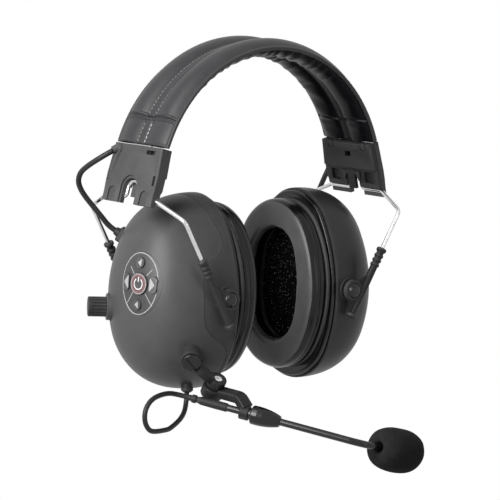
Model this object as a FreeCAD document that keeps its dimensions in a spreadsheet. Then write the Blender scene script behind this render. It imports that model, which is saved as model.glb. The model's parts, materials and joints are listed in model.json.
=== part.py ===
import FreeCAD, Part
import MeshPart
import math
import os
import Sketcher
from FreeCAD import Vector, Rotation, Placement

# Aviation headset: padded headband on a spring strip, two wire yokes, four sliders, two ear cups,
# a key pad and a volume knob on the left cup, and a microphone boom on a turning bracket.
# World frame in mm: +Z up, -Y the wearer's front, -X the cup that carries the microphone.
# The origin is the midpoint between the two cushions at the height of the cup pivots.

doc = FreeCAD.newDocument("aviation_headset")
sheet = doc.addObject("Spreadsheet::Sheet", "Sizes")

# Driving sizes: alias, value in mm or degrees, meaning
SIZES = [
    ("band_radius", 83.0, "radius of the headband centre line"),
    ("band_centre_z", 57.2, "height of the headband centre of curvature"),
    ("band_end_angle", 71.0, "half angle of the headband at the yoke blocks"),
    ("pleat_angle", 60.0, "half angle of the sewn pleats"),
    ("band_half_width", 22.0, "half width of the padding at its seam"),
    ("piping_out", 1.85, "how far the piping stands out past the seam"),
    ("lobe_y", 12.5, "distance of each padded lobe from the centre line"),
    ("cover_lobe_rise", 4.8, "crown of the outer lobes over the seam radius"),
    ("tab_lobe_rise", 3.0, "crown of the flat end tabs"),
    ("channel_half_width", 3.0, "half width of the sewn centre channel"),
    ("channel_rise", 1.7, "height of the sewn centre channel"),
    ("pad_top_radius", 81.9, "radius where the inner pad meets the cover"),
    ("pad_lobe_drop", 4.6, "thickness of the inner pad lobes"),
    ("pad_end_lobe_drop", 3.8, "thickness of the lobes of the pad ends"),
    ("spring_width", 16.0, "width of the steel spring strip"),
    ("spring_thick", 0.9, "thickness of the spring strip"),
    ("spring_radius", 82.5, "inner radius of the spring strip"),
    ("cord_band_radius", 83.42, "radius of the cable run in the headband"),
    ("cord_band_y", 16.0, "distance of that cable from the centre line"),
    ("cord_diameter", 3.0, "diameter of that cable inside the headband"),
    ("block_lean", 14.3, "lean of the yoke blocks in degrees"),
    ("block_x", 85.2, "x of the yoke block frame"),
    ("block_z", 54.7, "z of the yoke block frame, the level of the wire"),
    ("block_half_thick", 3.5, "half thickness of a yoke block"),
    ("block_top", 29.5, "height of the block top over the wire"),
    ("block_half_top", 21.6, "half width of the block at its top"),
    ("block_half_mid", 23.0, "half width of the block at its belly"),
    ("block_half_foot", 22.5, "half width of the block at its feet"),
    ("block_foot_drop", 3.9, "depth of the feet under the wire"),
    ("arch_half", 6.0, "half width of the mouse-hole arch"),
    ("arch_centre", 4.8, "height of the centre of the arch"),
    ("wire_diameter", 2.4, "diameter of the yoke wire"),
    ("wire_loop_half", 4.7, "half width of the wire loop in the arch"),
    ("wire_gap", 0.04, "room between the wire and its groove"),
    ("inner_foot_z", 1.5, "height at which the feet of the inner block halves end"),
    ("leg_y", 43.2, "distance of the yoke legs from the centre line"),
    ("leg_lean", 30.0, "lean of the yoke legs in degrees"),
    ("leg_foot_x", 52.4, "x of the foot of the leg axis"),
    ("leg_foot_z", -3.4, "z of the foot of the leg axis"),
    ("leg_bend_up", 56.3, "distance from the foot to the bend of the leg"),
    ("leg_end_up", -3.0, "where the wire ends inside the slider"),
    ("slider_low", 14.0, "length of the slider under the eye"),
    ("slider_high", 31.0, "length of the slider over the eye"),
    ("slider_tube_radius", 2.2, "outer radius of the slider tube"),
    ("slider_flange_radius", 3.0, "radius of the end flanges"),
    ("slider_ring_radius", 2.7, "radius of the grip rings"),
    ("slider_bore_radius", 1.28, "bore for the wire"),
    ("eye_offset", 6.81, "distance of the eye from the tube axis"),
    ("eye_outer_radius", 6.2, "outer radius of the eye ring"),
    ("eye_hole_radius", 4.425, "hole of the eye ring"),
    ("eye_thick", 2.8, "thickness of the eye ring and its web"),
    ("pivot_x", 46.5, "x of the cup pivot axis"),
    ("pin_radius", 4.35, "radius of the pivot pin"),
    ("pin_root_radius", 2.6, "radius of the pin root pressed into the cup"),
    ("boss_radius", 7.0, "radius of the pivot boss on the cup"),
    ("boss_face_y", 41.4, "distance of the boss face from the centre line"),
    ("boss_shoulder_y", 40.7, "distance of the boss shoulder, which clears the slider tube"),
    ("boss_face_radius", 4.5, "radius of the boss face under the eye ring"),
    ("cup_half_width", 39.5, "half width of the cup"),
    ("cup_top", 56.0, "top of the cup"),
    ("cup_bottom", 57.0, "depth of the cup under the pivot"),
    ("cup_top_radius", 31.0, "radius of the upper arc of the cup outline"),
    ("cup_bottom_radius", 36.0, "radius of the lower arc of the cup outline"),
    ("shell_x", 38.0, "x of the open edge of the shells"),
    ("shell_wall", 2.6, "wall of the shells"),
    ("dome_right_depth", 42.0, "depth of the right shell"),
    ("dome_left_depth", 48.4, "depth of the left shell"),
    ("dome_power", 2.7, "fullness of the shells"),
    ("cushion_face_x", 19.5, "x of the face of the ear cushion"),
    ("cushion_back_x", 31.0, "x of the back of the ear cushion"),
    ("plate_back_x", 33.4, "x of the back of the cushion plate"),
    ("cushion_half_width", 38.2, "half width of the ear cushion"),
    ("cushion_top", 50.5, "top and depth of the ear cushion"),
    ("cushion_hole_half", 20.6, "half width of the cushion opening"),
    ("cushion_hole_top", 32.5, "top of the cushion opening"),
    ("cushion_hole_bottom", 32.0, "depth of the cushion opening"),
    ("web_x", 42.0, "x of the speaker web"),
    ("web_thick", 1.6, "thickness of the speaker web"),
    ("speaker_radius", 19.0, "radius of the speaker"),
    ("keypad_half_width", 14.5, "half width of the oval key pad"),
    ("keypad_half_height", 17.7, "half height of the oval key pad"),
    ("keypad_gap", 0.2, "gap around the key pad and its buttons"),
    ("button_proud", 0.9, "height of the buttons over the key pad"),
    ("power_radius", 6.1, "radius of the power button"),
    ("knob_radius", 5.75, "radius of the volume knob"),
    ("knob_length", 10.3, "length of the volume knob"),
    ("knob_collar_radius", 7.7, "radius of the knob collar"),
    ("knob_collar_length", 3.4, "length of the knob collar"),
    ("knob_base_radius", 8.15, "radius of the knob base"),
    ("knob_base_length", 1.5, "height of the knob base"),
    ("port_radius", 5.25, "radius of the boom port"),
    ("port_length", 12.9, "length of the boom port from shell to cap face"),
    ("hub_thick", 2.3, "thickness of the bracket hub under the port cap"),
    ("cap_thick", 1.9, "thickness of the port cap"),
    ("hinge_one_radius", 5.35, "radius of the upper hinge boss"),
    ("hinge_two_radius", 6.45, "radius of the lower hinge boss"),
    ("arm_width", 7.4, "width of the boom arm, across its hinge axis"),
    ("arm_height", 5.0, "height of the boom arm"),
    ("bracket_width", 6.4, "width of the bracket arm"),
    ("bracket_height", 4.4, "height of the bracket arm"),
    ("boom_tube_radius", 2.0, "radius of the boom tube"),
    ("boom_bore_radius", 2.05, "bore of the clamp and of the collar"),
    ("boom_reach", 69.5, "distance from the clamp to the corner of the bend of the boom tube"),
    ("boom_bend_radius", 14.0, "radius of that bend"),
    ("boom_end_run", 12.4, "distance from that corner to the windscreen"),
    ("windscreen_radius", 12.7, "radius of the foam windscreen"),
    ("windscreen_length", 36.0, "length of the foam windscreen"),
    ("cross_cord_diameter", 3.2, "diameter of the cable between the cups, outside the headband"),
    ("mic_cord_diameter", 2.9, "diameter of the microphone cable"),
]
for row, (alias, value, note) in enumerate(SIZES, 1):
    sheet.set("A%d" % row, note)
    sheet.set("B%d" % row, repr(value))
    sheet.setAlias("B%d" % row, alias)
doc.recompute()

NODES = []


def size(alias):
    return float(sheet.get(alias))


def value_of(expression):
    if isinstance(expression, (int, float)):
        return float(expression)
    result = sheet.evalExpression(expression)
    return float(getattr(result, "Value", result))


# Placing and joining

def frame_on(origin, z_axis, x_hint=Vector(0, 0, 1)):
    """Placement with local Z along z_axis and local X as near as it can be to x_hint."""
    z = Vector(z_axis).normalize()
    x = x_hint - z * x_hint.dot(z)
    x.normalize()
    y = z.cross(x)
    matrix = FreeCAD.Matrix(x.x, y.x, z.x, 0, x.y, y.y, z.y, 0, x.z, y.z, z.z, 0, 0, 0, 0, 1)
    place = Placement(matrix)
    place.Base = Vector(origin)
    return place


def fuse(shapes):
    whole = shapes[0]
    for shape in shapes[1:]:
        whole = whole.fuse(shape)
    return whole


def feature(label, shape, place=None, node=True):
    item = doc.addObject("Part::Feature", label)
    item.Label = label
    item.Shape = shape
    if place is not None:
        item.Placement = place
    if node:
        NODES.append(item)
    return item


def mirrored(source, label, normal=Vector(1, 0, 0), node=True):
    item = doc.addObject("Part::Mirroring", label)
    item.Label = label
    item.Source = source
    item.Normal = normal
    item.Base = Vector(0, 0, 0)
    if node:
        NODES.append(item)
    return item


def pair(label, source, normal):
    """The source and its mirror image as one node of two solids."""
    twin = mirrored(source, label + "_twin", normal, node=False)
    item = doc.addObject("Part::Compound", label)
    item.Label = label
    item.Links = [source, twin]
    NODES.append(item)
    return item


# Turned pieces: PartDesign revolutions of a half section bound to the sheet

def origin_plane(body, role):
    return [item for item in body.Origin.OriginFeatures if item.Role == role][0]


def half_section(body, name, profile):
    sketch = body.newObject("Sketcher::SketchObject", name)
    sketch.AttachmentSupport = [(origin_plane(body, "XZ_Plane"), "")]
    sketch.MapMode = "FlatFace"
    points = [(value_of(r), value_of(z)) for r, z in profile]
    count = len(points)
    for i in range(count):
        (r0, z0), (r1, z1) = points[i], points[(i + 1) % count]
        sketch.addGeometry(Part.LineSegment(Vector(r0, z0, 0), Vector(r1, z1, 0)), False)
    for i in range(count):
        sketch.addConstraint(Sketcher.Constraint("Coincident", i, 2, (i + 1) % count, 1))
    for i, (r, z) in enumerate(profile):
        for kind, axis, expression, value in (("DistanceX", -2, r, points[i][0]),
                                              ("DistanceY", -1, z, points[i][1])):
            if abs(value) < 1e-9:
                sketch.addConstraint(Sketcher.Constraint("PointOnObject", i, 1, axis))
                continue
            index = sketch.addConstraint(Sketcher.Constraint(kind, -1, 1, i, 1, value))
            if isinstance(expression, str):
                sketch.setExpression("Constraints[%d]" % index, expression)
    return sketch


def lathe(label, profile, place=None, node=True):
    """Body turned about local Z from (radius, height) points, heights not negative."""
    body = doc.addObject("PartDesign::Body", label)
    body.Label = label
    sketch = half_section(body, label + "_section", profile)
    turned = body.newObject("PartDesign::Revolution", label + "_turned")
    turned.Profile = sketch
    turned.ReferenceAxis = (sketch, ["V_Axis"])
    turned.Angle = 360
    if place is not None:
        body.Placement = place
    doc.recompute()
    if node:
        NODES.append(body)
    return body


# Curved outlines

def egg_wire(half, top, bottom, top_r, bottom_r, x, scale=1.0, scale_z=0.0):
    """Closed outline of four tangent arcs in the plane X = x, scaled about (0, scale_z)."""
    zt, zb = top - top_r, bottom_r - bottom
    low, high = half + 0.01, 4000.0
    for _ in range(80):
        big = (low + high) / 2
        span = 2 * big - half
        reach = math.sqrt(max(0, (half - bottom_r) * (span - bottom_r)))
        reach += math.sqrt(max(0, (half - top_r) * (span - top_r)))
        if reach > zt - zb:
            high = big
        else:
            low = big
    side_z = zb + math.sqrt(max(0, (half - bottom_r) * (2 * big - half - bottom_r)))
    side_c = (half - big, side_z)

    def touch(centre_z, radius):
        dy, dz = -side_c[0], centre_z - side_c[1]
        length = math.hypot(dy, dz)
        return dy / length * radius, centre_z + dz / length * radius

    def at(y, z):
        return Vector(x, y * scale, scale_z + (z - scale_z) * scale)

    ty, tz = touch(zt, top_r)
    by, bz = touch(zb, bottom_r)
    arcs = [
        Part.Arc(at(by, bz), at(half, side_z), at(ty, tz)),
        Part.Arc(at(ty, tz), at(0, top), at(-ty, tz)),
        Part.Arc(at(-ty, tz), at(-half, side_z), at(-by, bz)),
        Part.Arc(at(-by, bz), at(0, -bottom), at(by, bz)),
    ]
    return Part.Wire([arc.toShape() for arc in arcs])


def cup_egg(inset, x, scale=1.0):
    return egg_wire(size("cup_half_width") - inset, size("cup_top") - inset, size("cup_bottom") - inset,
                    size("cup_top_radius") - inset, size("cup_bottom_radius") - inset, x, scale, -3.3)


def cushion_egg(inset, x):
    top = size("cushion_top") - inset
    return egg_wire(size("cushion_half_width") - inset, top, top, 32.5 - inset, 33.5 - inset, x)


def hole_egg(inset, x):
    return egg_wire(size("cushion_hole_half") - inset, size("cushion_hole_top") - inset,
                    size("cushion_hole_bottom") - inset, 19.0 - inset, 19.5 - inset, x)


def slab(wire, depth):
    return Part.Face(wire).extrude(Vector(depth, 0, 0))


def dome(depth, inset, steps):
    """Solid of the cup form from the open edge to its apex, inset all round."""
    power = size("dome_power")
    start = size("shell_x")
    sections = []
    for step in steps:
        scale = (1 - step ** power) ** (1 / power)
        sections.append(cup_egg(inset, start + (depth - inset) * step, scale))
    return Part.makeLoft(sections, True, False)


FINE = (0.0, 0.25, 0.5, 0.7, 0.84, 0.93, 0.98, 0.998)
COARSE = (0.0, 0.4, 0.72, 0.9, 0.985)


# Cables and wires

def rounded_path(points, radii):
    edges = []
    here = points[0]
    for i in range(1, len(points) - 1):
        corner = points[i]
        back = (points[i - 1] - corner).normalize()
        ahead = (points[i + 1] - corner).normalize()
        turn = math.pi - back.getAngle(ahead)
        cut = radii[i - 1] * math.tan(turn / 2)
        start, end = corner + back * cut, corner + ahead * cut
        inward = (back + ahead).normalize()
        middle = corner + inward * (radii[i - 1] / math.cos(turn / 2) - radii[i - 1])
        if (start - here).Length > 1e-6:
            edges.append(Part.makeLine(here, start))
        edges.append(Part.Arc(start, middle, end).toShape())
        here = end
    edges.append(Part.makeLine(here, points[-1]))
    return Part.Wire(edges)


def tube_along(path, radius, name):
    first = path.Edges[0]
    start = first.valueAt(first.FirstParameter)
    along = first.tangentAt(first.FirstParameter)
    ring = Part.Wire([Part.makeCircle(radius, start, along)])
    tube = path.makePipeShell([ring], True, False)
    share = tube.Volume / (math.pi * radius * radius * path.Length)
    print("%s length %.1f volume share %.4f" % (name, path.Length, share))
    return tube


def rounded_rectangle(width, height, radius):
    """Closed outline in the plane Z = 0, centred on the origin."""
    x, y = width / 2, height / 2
    edges = []
    corners = [(x, -y), (x, y), (-x, y), (-x, -y)]
    for i in range(4):
        before, corner, after = [Vector(*corners[(i + k) % 4]) for k in (-1, 0, 1)]
        back = (before - corner).normalize() * radius
        ahead = (after - corner).normalize() * radius
        middle = corner + (back + ahead) * (1 - math.sqrt(0.5))
        edges.append(Part.Arc(corner + back, middle, corner + ahead).toShape())
        edges.append(Part.makeLine(corner + ahead, after - ahead))
    return Part.Wire(edges)


def bar_along(path, width, height, up):
    """Bar of rounded rectangular section along a path, its height side towards up."""
    first = path.Edges[0]
    along = first.tangentAt(first.FirstParameter)
    outline = rounded_rectangle(width, height, 0.9)
    outline.Placement = frame_on(first.valueAt(first.FirstParameter), along, along.cross(up) * -1)
    return path.makePipeShell([outline], True, False)


def cord(label, points, diameter, place=None):
    """Round cable through the corner points, each corner an arc as wide as its runs allow."""
    points = [Vector(*point) for point in points]
    radii = []
    for i in range(1, len(points) - 1):
        back, ahead = points[i - 1] - points[i], points[i + 1] - points[i]
        turn = math.pi - back.getAngle(ahead)
        radii.append(min(400.0, 0.45 * min(back.Length, ahead.Length) / math.tan(turn / 2)))
    if radii:
        print(label, "bend radii", [round(radius, 1) for radius in radii])
    path = rounded_path(points, radii)
    return feature(label, tube_along(path, diameter / 2, label), place)


# Headband

CENTRE = Vector(0, 0, size("band_centre_z"))


def band(outline, start, end):
    """Section of edges in the plane X = 0 (Y across, Z the radius) turned about the band centre."""
    face = Part.Face(Part.Wire(outline))
    face.translate(CENTRE)
    face.rotate(CENTRE, Vector(0, 1, 0), start)
    return face.revolve(CENTRE, Vector(0, 1, 0), end - start)


def line(a, b):
    return Part.makeLine(Vector(0, *a), Vector(0, *b))


def arc(a, b, c):
    return Part.Arc(Vector(0, *a), Vector(0, *b), Vector(0, *c)).toShape()


def chain(points):
    return [line(points[i], points[i + 1]) for i in range(len(points) - 1)]


def cover_section(lobe, grow=0.0):
    half, top, channel = size("band_half_width"), size("band_radius"), size("channel_half_width")
    out, under = size("piping_out"), size("pad_top_radius")
    low = top + size("channel_rise") - 0.3 + grow
    crown = top + lobe + grow
    pocket = size("spring_width") / 2 + 0.3
    ceiling = size("spring_radius") + size("spring_thick") + 0.3
    groove, groove_r = size("cord_band_y"), 1.52
    cable = size("cord_band_radius")
    edges = [arc((half, top + 0.4 + grow), (size("lobe_y"), crown), (channel, low)),
             arc((channel, low), (0, low + 0.5), (-channel, low)),
             arc((-channel, low), (-size("lobe_y"), crown), (-half, top + 0.4 + grow)),
             arc((-half, top + 0.4 + grow), (-half - out, top - 0.6), (-half, under - 0.4))]
    edges += chain([(-half, under - 0.4), (-half + 1, under), (-pocket, under), (-pocket, ceiling),
                    (pocket, ceiling), (pocket, under), (groove - groove_r, under),
                    (groove - groove_r, cable)])
    edges.append(arc((groove - groove_r, cable), (groove, cable + groove_r), (groove + groove_r, cable)))
    edges += chain([(groove + groove_r, cable), (groove + groove_r, under), (half - 1, under),
                    (half, under - 0.4)])
    edges.append(arc((half, under - 0.4), (half + out, top - 0.6), (half, top + 0.4 + grow)))
    return edges


def pad_section(lobe, grow=0.0):
    half, top, channel = size("band_half_width") - 0.5, size("pad_top_radius"), size("channel_half_width")
    deep = top - lobe - grow
    high = top - 1.7 - grow
    return [arc((-half, top - 0.9), (-size("lobe_y"), deep), (-channel, high)),
            arc((-channel, high), (0, high - 0.4), (channel, high)),
            arc((channel, high), (size("lobe_y"), deep), (half, top - 0.9)),
            line((half, top - 0.9), (half, top - 0.5)), line((half, top - 0.5), (half - 0.8, top)),
            line((half - 0.8, top), (-half + 0.8, top)), line((-half + 0.8, top), (-half, top - 0.5)),
            line((-half, top - 0.5), (-half, top - 0.9))]


PLEAT, BAND_END = size("pleat_angle"), size("band_end_angle")
cover_parts = [band(cover_section(size("cover_lobe_rise")), -PLEAT + 0.4, PLEAT - 0.4)]
pad_parts = [band(pad_section(size("pad_lobe_drop")), -PLEAT + 0.4, PLEAT - 0.4)]
for side in (-1, 1):
    for low, high, lobe, grow in ((PLEAT - 0.4, PLEAT + 0.4, 3.1, -0.25),
                                  (PLEAT + 0.4, PLEAT + 1.2, 3.3, 0.3),
                                  (PLEAT + 1.2, BAND_END - 0.9, size("tab_lobe_rise"), 0.0),
                                  (BAND_END - 0.9, BAND_END, size("tab_lobe_rise"), 0.45)):
        start, end = sorted((side * low, side * high))
        cover_parts.append(band(cover_section(lobe, grow), start, end))
    for low, high, lobe, grow in ((PLEAT - 0.4, PLEAT + 0.4, 1.9, -0.5),
                                  (PLEAT + 0.4, BAND_END - 0.5, size("pad_end_lobe_drop"), 0.0)):
        start, end = sorted((side * low, side * high))
        pad_parts.append(band(pad_section(lobe, grow), start, end))
feature("headband_cover", fuse(cover_parts))
feature("headband_pad", fuse(pad_parts))


def block_place(side=1):
    return Placement(Vector(side * size("block_x"), 0, size("block_z")),
                     Rotation(Vector(0, 1, 0), -side * size("block_lean")))


def local_box(x0, x1, y0, y1, z0, z1):
    return Part.makeBox(x1 - x0, y1 - y0, z1 - z0, Vector(x0, y0, z0))


# Spring strip: an arc over the head, a tongue and a T end in each yoke block
strip_r, strip_w = size("spring_radius"), size("spring_width")
strip = band(chain([(-strip_w / 2, strip_r), (strip_w / 2, strip_r),
                    (strip_w / 2, strip_r + size("spring_thick")),
                    (-strip_w / 2, strip_r + size("spring_thick")), (-strip_w / 2, strip_r)]),
             -BAND_END, BAND_END)
strip_parts = [strip]
for side in (-1, 1):
    tongue = fuse([local_box(-0.2, 1.0, -strip_w / 2, strip_w / 2, 15, size("block_top") + 1.2),
                   local_box(-0.2, 1.0, -20.2, 13.8, size("block_top") - 2.1, size("block_top") - 0.1)])
    if side < 0:
        tongue = tongue.mirror(Vector(0, 0, 0), Vector(1, 0, 0))
    tongue.Placement = block_place(side).multiply(tongue.Placement)
    strip_parts.append(tongue)
feature("headband_spring", fuse(strip_parts))

# Cable run inside the headband
cable_r = size("cord_diameter") / 2
ring_centre = Vector(0, size("cord_band_y"), size("cord_band_radius"))
ring = Part.Face(Part.Wire([Part.makeCircle(cable_r, ring_centre, Vector(1, 0, 0))]))
ring.translate(CENTRE)
ring.rotate(CENTRE, Vector(0, 1, 0), -BAND_END)
band_cable = ring.revolve(CENTRE, Vector(0, 1, 0), 2 * BAND_END)
run = size("cord_band_radius") * math.radians(2 * BAND_END)
share = band_cable.Volume / (math.pi * cable_r ** 2 * run)
print("cross_cable_band length %.1f volume share %.4f" % (run, share))
feature("cross_cable_band", band_cable)


# Yoke wire: one steel wire from one slider up, through both feet and round the loop in the arch

def leg_point(up, y):
    lean = math.radians(size("leg_lean"))
    return Vector(size("leg_foot_x") + up * math.sin(lean), y, size("leg_foot_z") + up * math.cos(lean))


def on_block(y, z, x=0.0):
    return block_place().multVec(Vector(x, y, z))


wire_r = size("wire_diameter") / 2
loop, loop_top = size("wire_loop_half"), size("arch_centre") + size("wire_loop_half")
half_path = [leg_point(size("leg_end_up"), size("leg_y")), leg_point(size("leg_bend_up"), size("leg_y")),
             on_block(22.0, 0), on_block(loop, 0), on_block(loop, loop_top)]
half_radii = [5.0, 4.0, 2.6, 4.5]
whole_path = half_path + [Vector(p.x, -p.y, p.z) for p in reversed(half_path)]
wire_path = rounded_path(whole_path, half_radii + half_radii[::-1])
yoke_wire_right = feature("yoke_wire_right", tube_along(wire_path, wire_r, "yoke_wire"))
mirrored(yoke_wire_right, "yoke_wire_left")
wire_groove = tube_along(wire_path, wire_r + size("wire_gap"), "groove for the wire")
wire_groove.Placement = block_place().inverse()


# Yoke blocks: local X through the thickness, local Y across, local Z up, wire at local Z = 0

def block_outline():
    top, drop = size("block_top"), size("block_foot_drop")
    arch, centre = size("arch_half"), size("arch_centre")
    a, m, f = size("block_half_top"), size("block_half_mid"), size("block_half_foot")
    return [line((-a, top), (-m, 12)), line((-m, 12), (-m + 0.1, 6)), line((-m + 0.1, 6), (-f, 2)),
            line((-f, 2), (-f, -drop)), line((-f, -drop), (-arch, -drop)),
            line((-arch, -drop), (-arch, centre)),
            arc((-arch, centre), (0, centre + arch), (arch, centre)), line((arch, centre), (arch, -drop)),
            line((arch, -drop), (f, -drop)), line((f, -drop), (f, 2)), line((f, 2), (m - 0.1, 6)),
            line((m - 0.1, 6), (m, 12)), line((m, 12), (a, top)), line((a, top), (-a, top))]


def outline_slab(edges, x0, x1):
    face = Part.Face(Part.Wire(edges))
    face.translate(Vector(x0, 0, 0))
    return face.extrude(Vector(x1 - x0, 0, 0))


half_t = size("block_half_thick")
room_low, room_high = 13.2, size("block_top") + 1
# Outer half, from the wire plane outward, with its pocket, slots, arch rim and foot flutes
outer = outline_slab(block_outline(), 0, half_t)
face_edges = [e for e in outer.Edges
              if abs(e.BoundBox.XMin - half_t) < 1e-6 and abs(e.BoundBox.XMax - half_t) < 1e-6
              and abs(e.BoundBox.YMin + e.BoundBox.YMax) > 12 and e.BoundBox.ZMax > -3]
outer = outer.makeFillet(1.0, [e for e in face_edges if e.BoundBox.YMax > 20 or e.BoundBox.YMin < -20])
outer = outer.cut(local_box(-0.1, 1.7, -21.6, 21.6, room_low, room_high))
outer = outer.cut(local_box(1.6, half_t + 0.5, -16.4, -8.5, 25.0, 27.4))
for side in (-1, 1):
    outer = outer.cut(local_box(1.2, half_t + 0.5, side * 20.4 - 0.95, side * 20.4 + 0.95, 8.0, 13.6))
    flute = fuse([local_box(half_t - 0.8, half_t + 0.5, side * 14.6 - 3.2, side * 14.6 + 3.2, -4.5, 1.4),
                  Part.makeCylinder(3.2, 1.3, Vector(half_t - 0.8, side * 14.6, 1.4), Vector(1, 0, 0))])
    outer = outer.cut(flute)
rim = fuse([local_box(half_t - 0.9, half_t + 0.5, -7.5, 7.5, -4.5, size("arch_centre")),
            Part.makeCylinder(7.5, 1.4, Vector(half_t - 0.9, 0, size("arch_centre")), Vector(1, 0, 0))])
outer = outer.cut(rim)
outer = outer.cut(wire_groove)
# Fairing that carries the cable out of the rear upper corner
cable_exit = Vector(4.6, 17.6, 25.6)
exit_way = Vector(0.62, 0.42, -0.66).normalize()
fairing = Part.makeCone(3.3, 0.7, 19.0, Vector(2.6, 16.8, 27.0), Vector(0.02, 0.19, -0.98))
collar = Part.makeCylinder(2.5, 4.6, cable_exit - exit_way * 2.2, exit_way)
fairing = fuse([fairing, collar, Part.makeSphere(3.3, Vector(2.6, 16.8, 26.2))])
fairing = fairing.cut(local_box(-6, 1.75, 0, 40, -10, 40))
fairing = fairing.cut(local_box(-20, 20, -40, 60, size("block_top"), 60))
fairing = fairing.cut(Part.makeCylinder(1.8, 8.0, cable_exit + exit_way * 2.4, exit_way))
outer = outer.fuse(fairing)
block_outer_right = feature("block_outer_right", outer, block_place())
mirrored(block_outer_right, "block_outer_left")

# Inner half, from the wire plane inward, with pocket, tab outlines, square hole, lower recess and tongue
inner = outline_slab(block_outline(), -half_t, 0)
inner = inner.cut(local_box(-1.5, 0.1, -21.6, 21.6, room_low, room_high))
recess_x = -half_t + 0.9
lower = Part.makePolygon([Vector(-half_t - 1, 0, 14), Vector(recess_x, 0, 13.1), Vector(recess_x, 0, 6.0),
                          Vector(-1.95, 0, 4.2), Vector(-1.95, 0, -6), Vector(-half_t - 1, 0, -6),
                          Vector(-half_t - 1, 0, 14)])
step = Part.Face(lower).extrude(Vector(0, 60, 0))
step.translate(Vector(0, -30, 0))
inner = inner.cut(step)
inner = inner.cut(local_box(-half_t - 0.5, -1.4, -2.6, 2.6, 20.6, 23.8))
rim_bead = Part.makeCylinder(0.7, 42.0, Vector(-half_t, -21.0, size("block_top") - 0.9), Vector(0, 1, 0))
inner = inner.fuse(rim_bead)
for side in (-1, 1):
    wide = [(side * 17.6, 29.6), (side * 16.4, 25.4), (side * 12.2, 25.4), (side * 11.0, 29.6)]
    slim = [(side * 17.0, 29.9), (side * 15.9, 25.95), (side * 12.7, 25.95), (side * 11.6, 29.9)]
    tab = outline_slab(chain(wide + wide[:1]), -half_t - 1, -half_t + 0.35)
    tab = tab.cut(outline_slab(chain(slim + slim[:1]), -half_t - 1.1, -half_t + 0.4))
    inner = inner.cut(tab)
    inner = inner.cut(local_box(-4, -0.9, side * 14.6 - 3.2, side * 14.6 + 3.2, 4.6, 11.4))
tongue_face = outline_slab(chain([(-7.0, 5.6), (7.0, 5.6), (8.0, 11.6), (-8.0, 11.6), (-7.0, 5.6)]),
                           -half_t + 0.2, -half_t + 1.2)
tongue_face = tongue_face.cut(Part.makeCylinder(size("arch_half"), 4, Vector(-4, 0, size("arch_centre")),
                                                Vector(1, 0, 0)))
tongue = fuse([local_box(-half_t + 0.2, -1.45, -3.1, 3.1, 0.5, 12.0), tongue_face])
inner = inner.cut(local_box(-half_t - 1, 0.1, -30, 30, -10, size("inner_foot_z")))
inner = inner.fuse(tongue).cut(wire_groove)
block_inner_right = feature("block_inner_right", inner, block_place())
mirrored(block_inner_right, "block_inner_left")


# Sliders: turned tube with flanges and grip rings, flat web and eye ring

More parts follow.
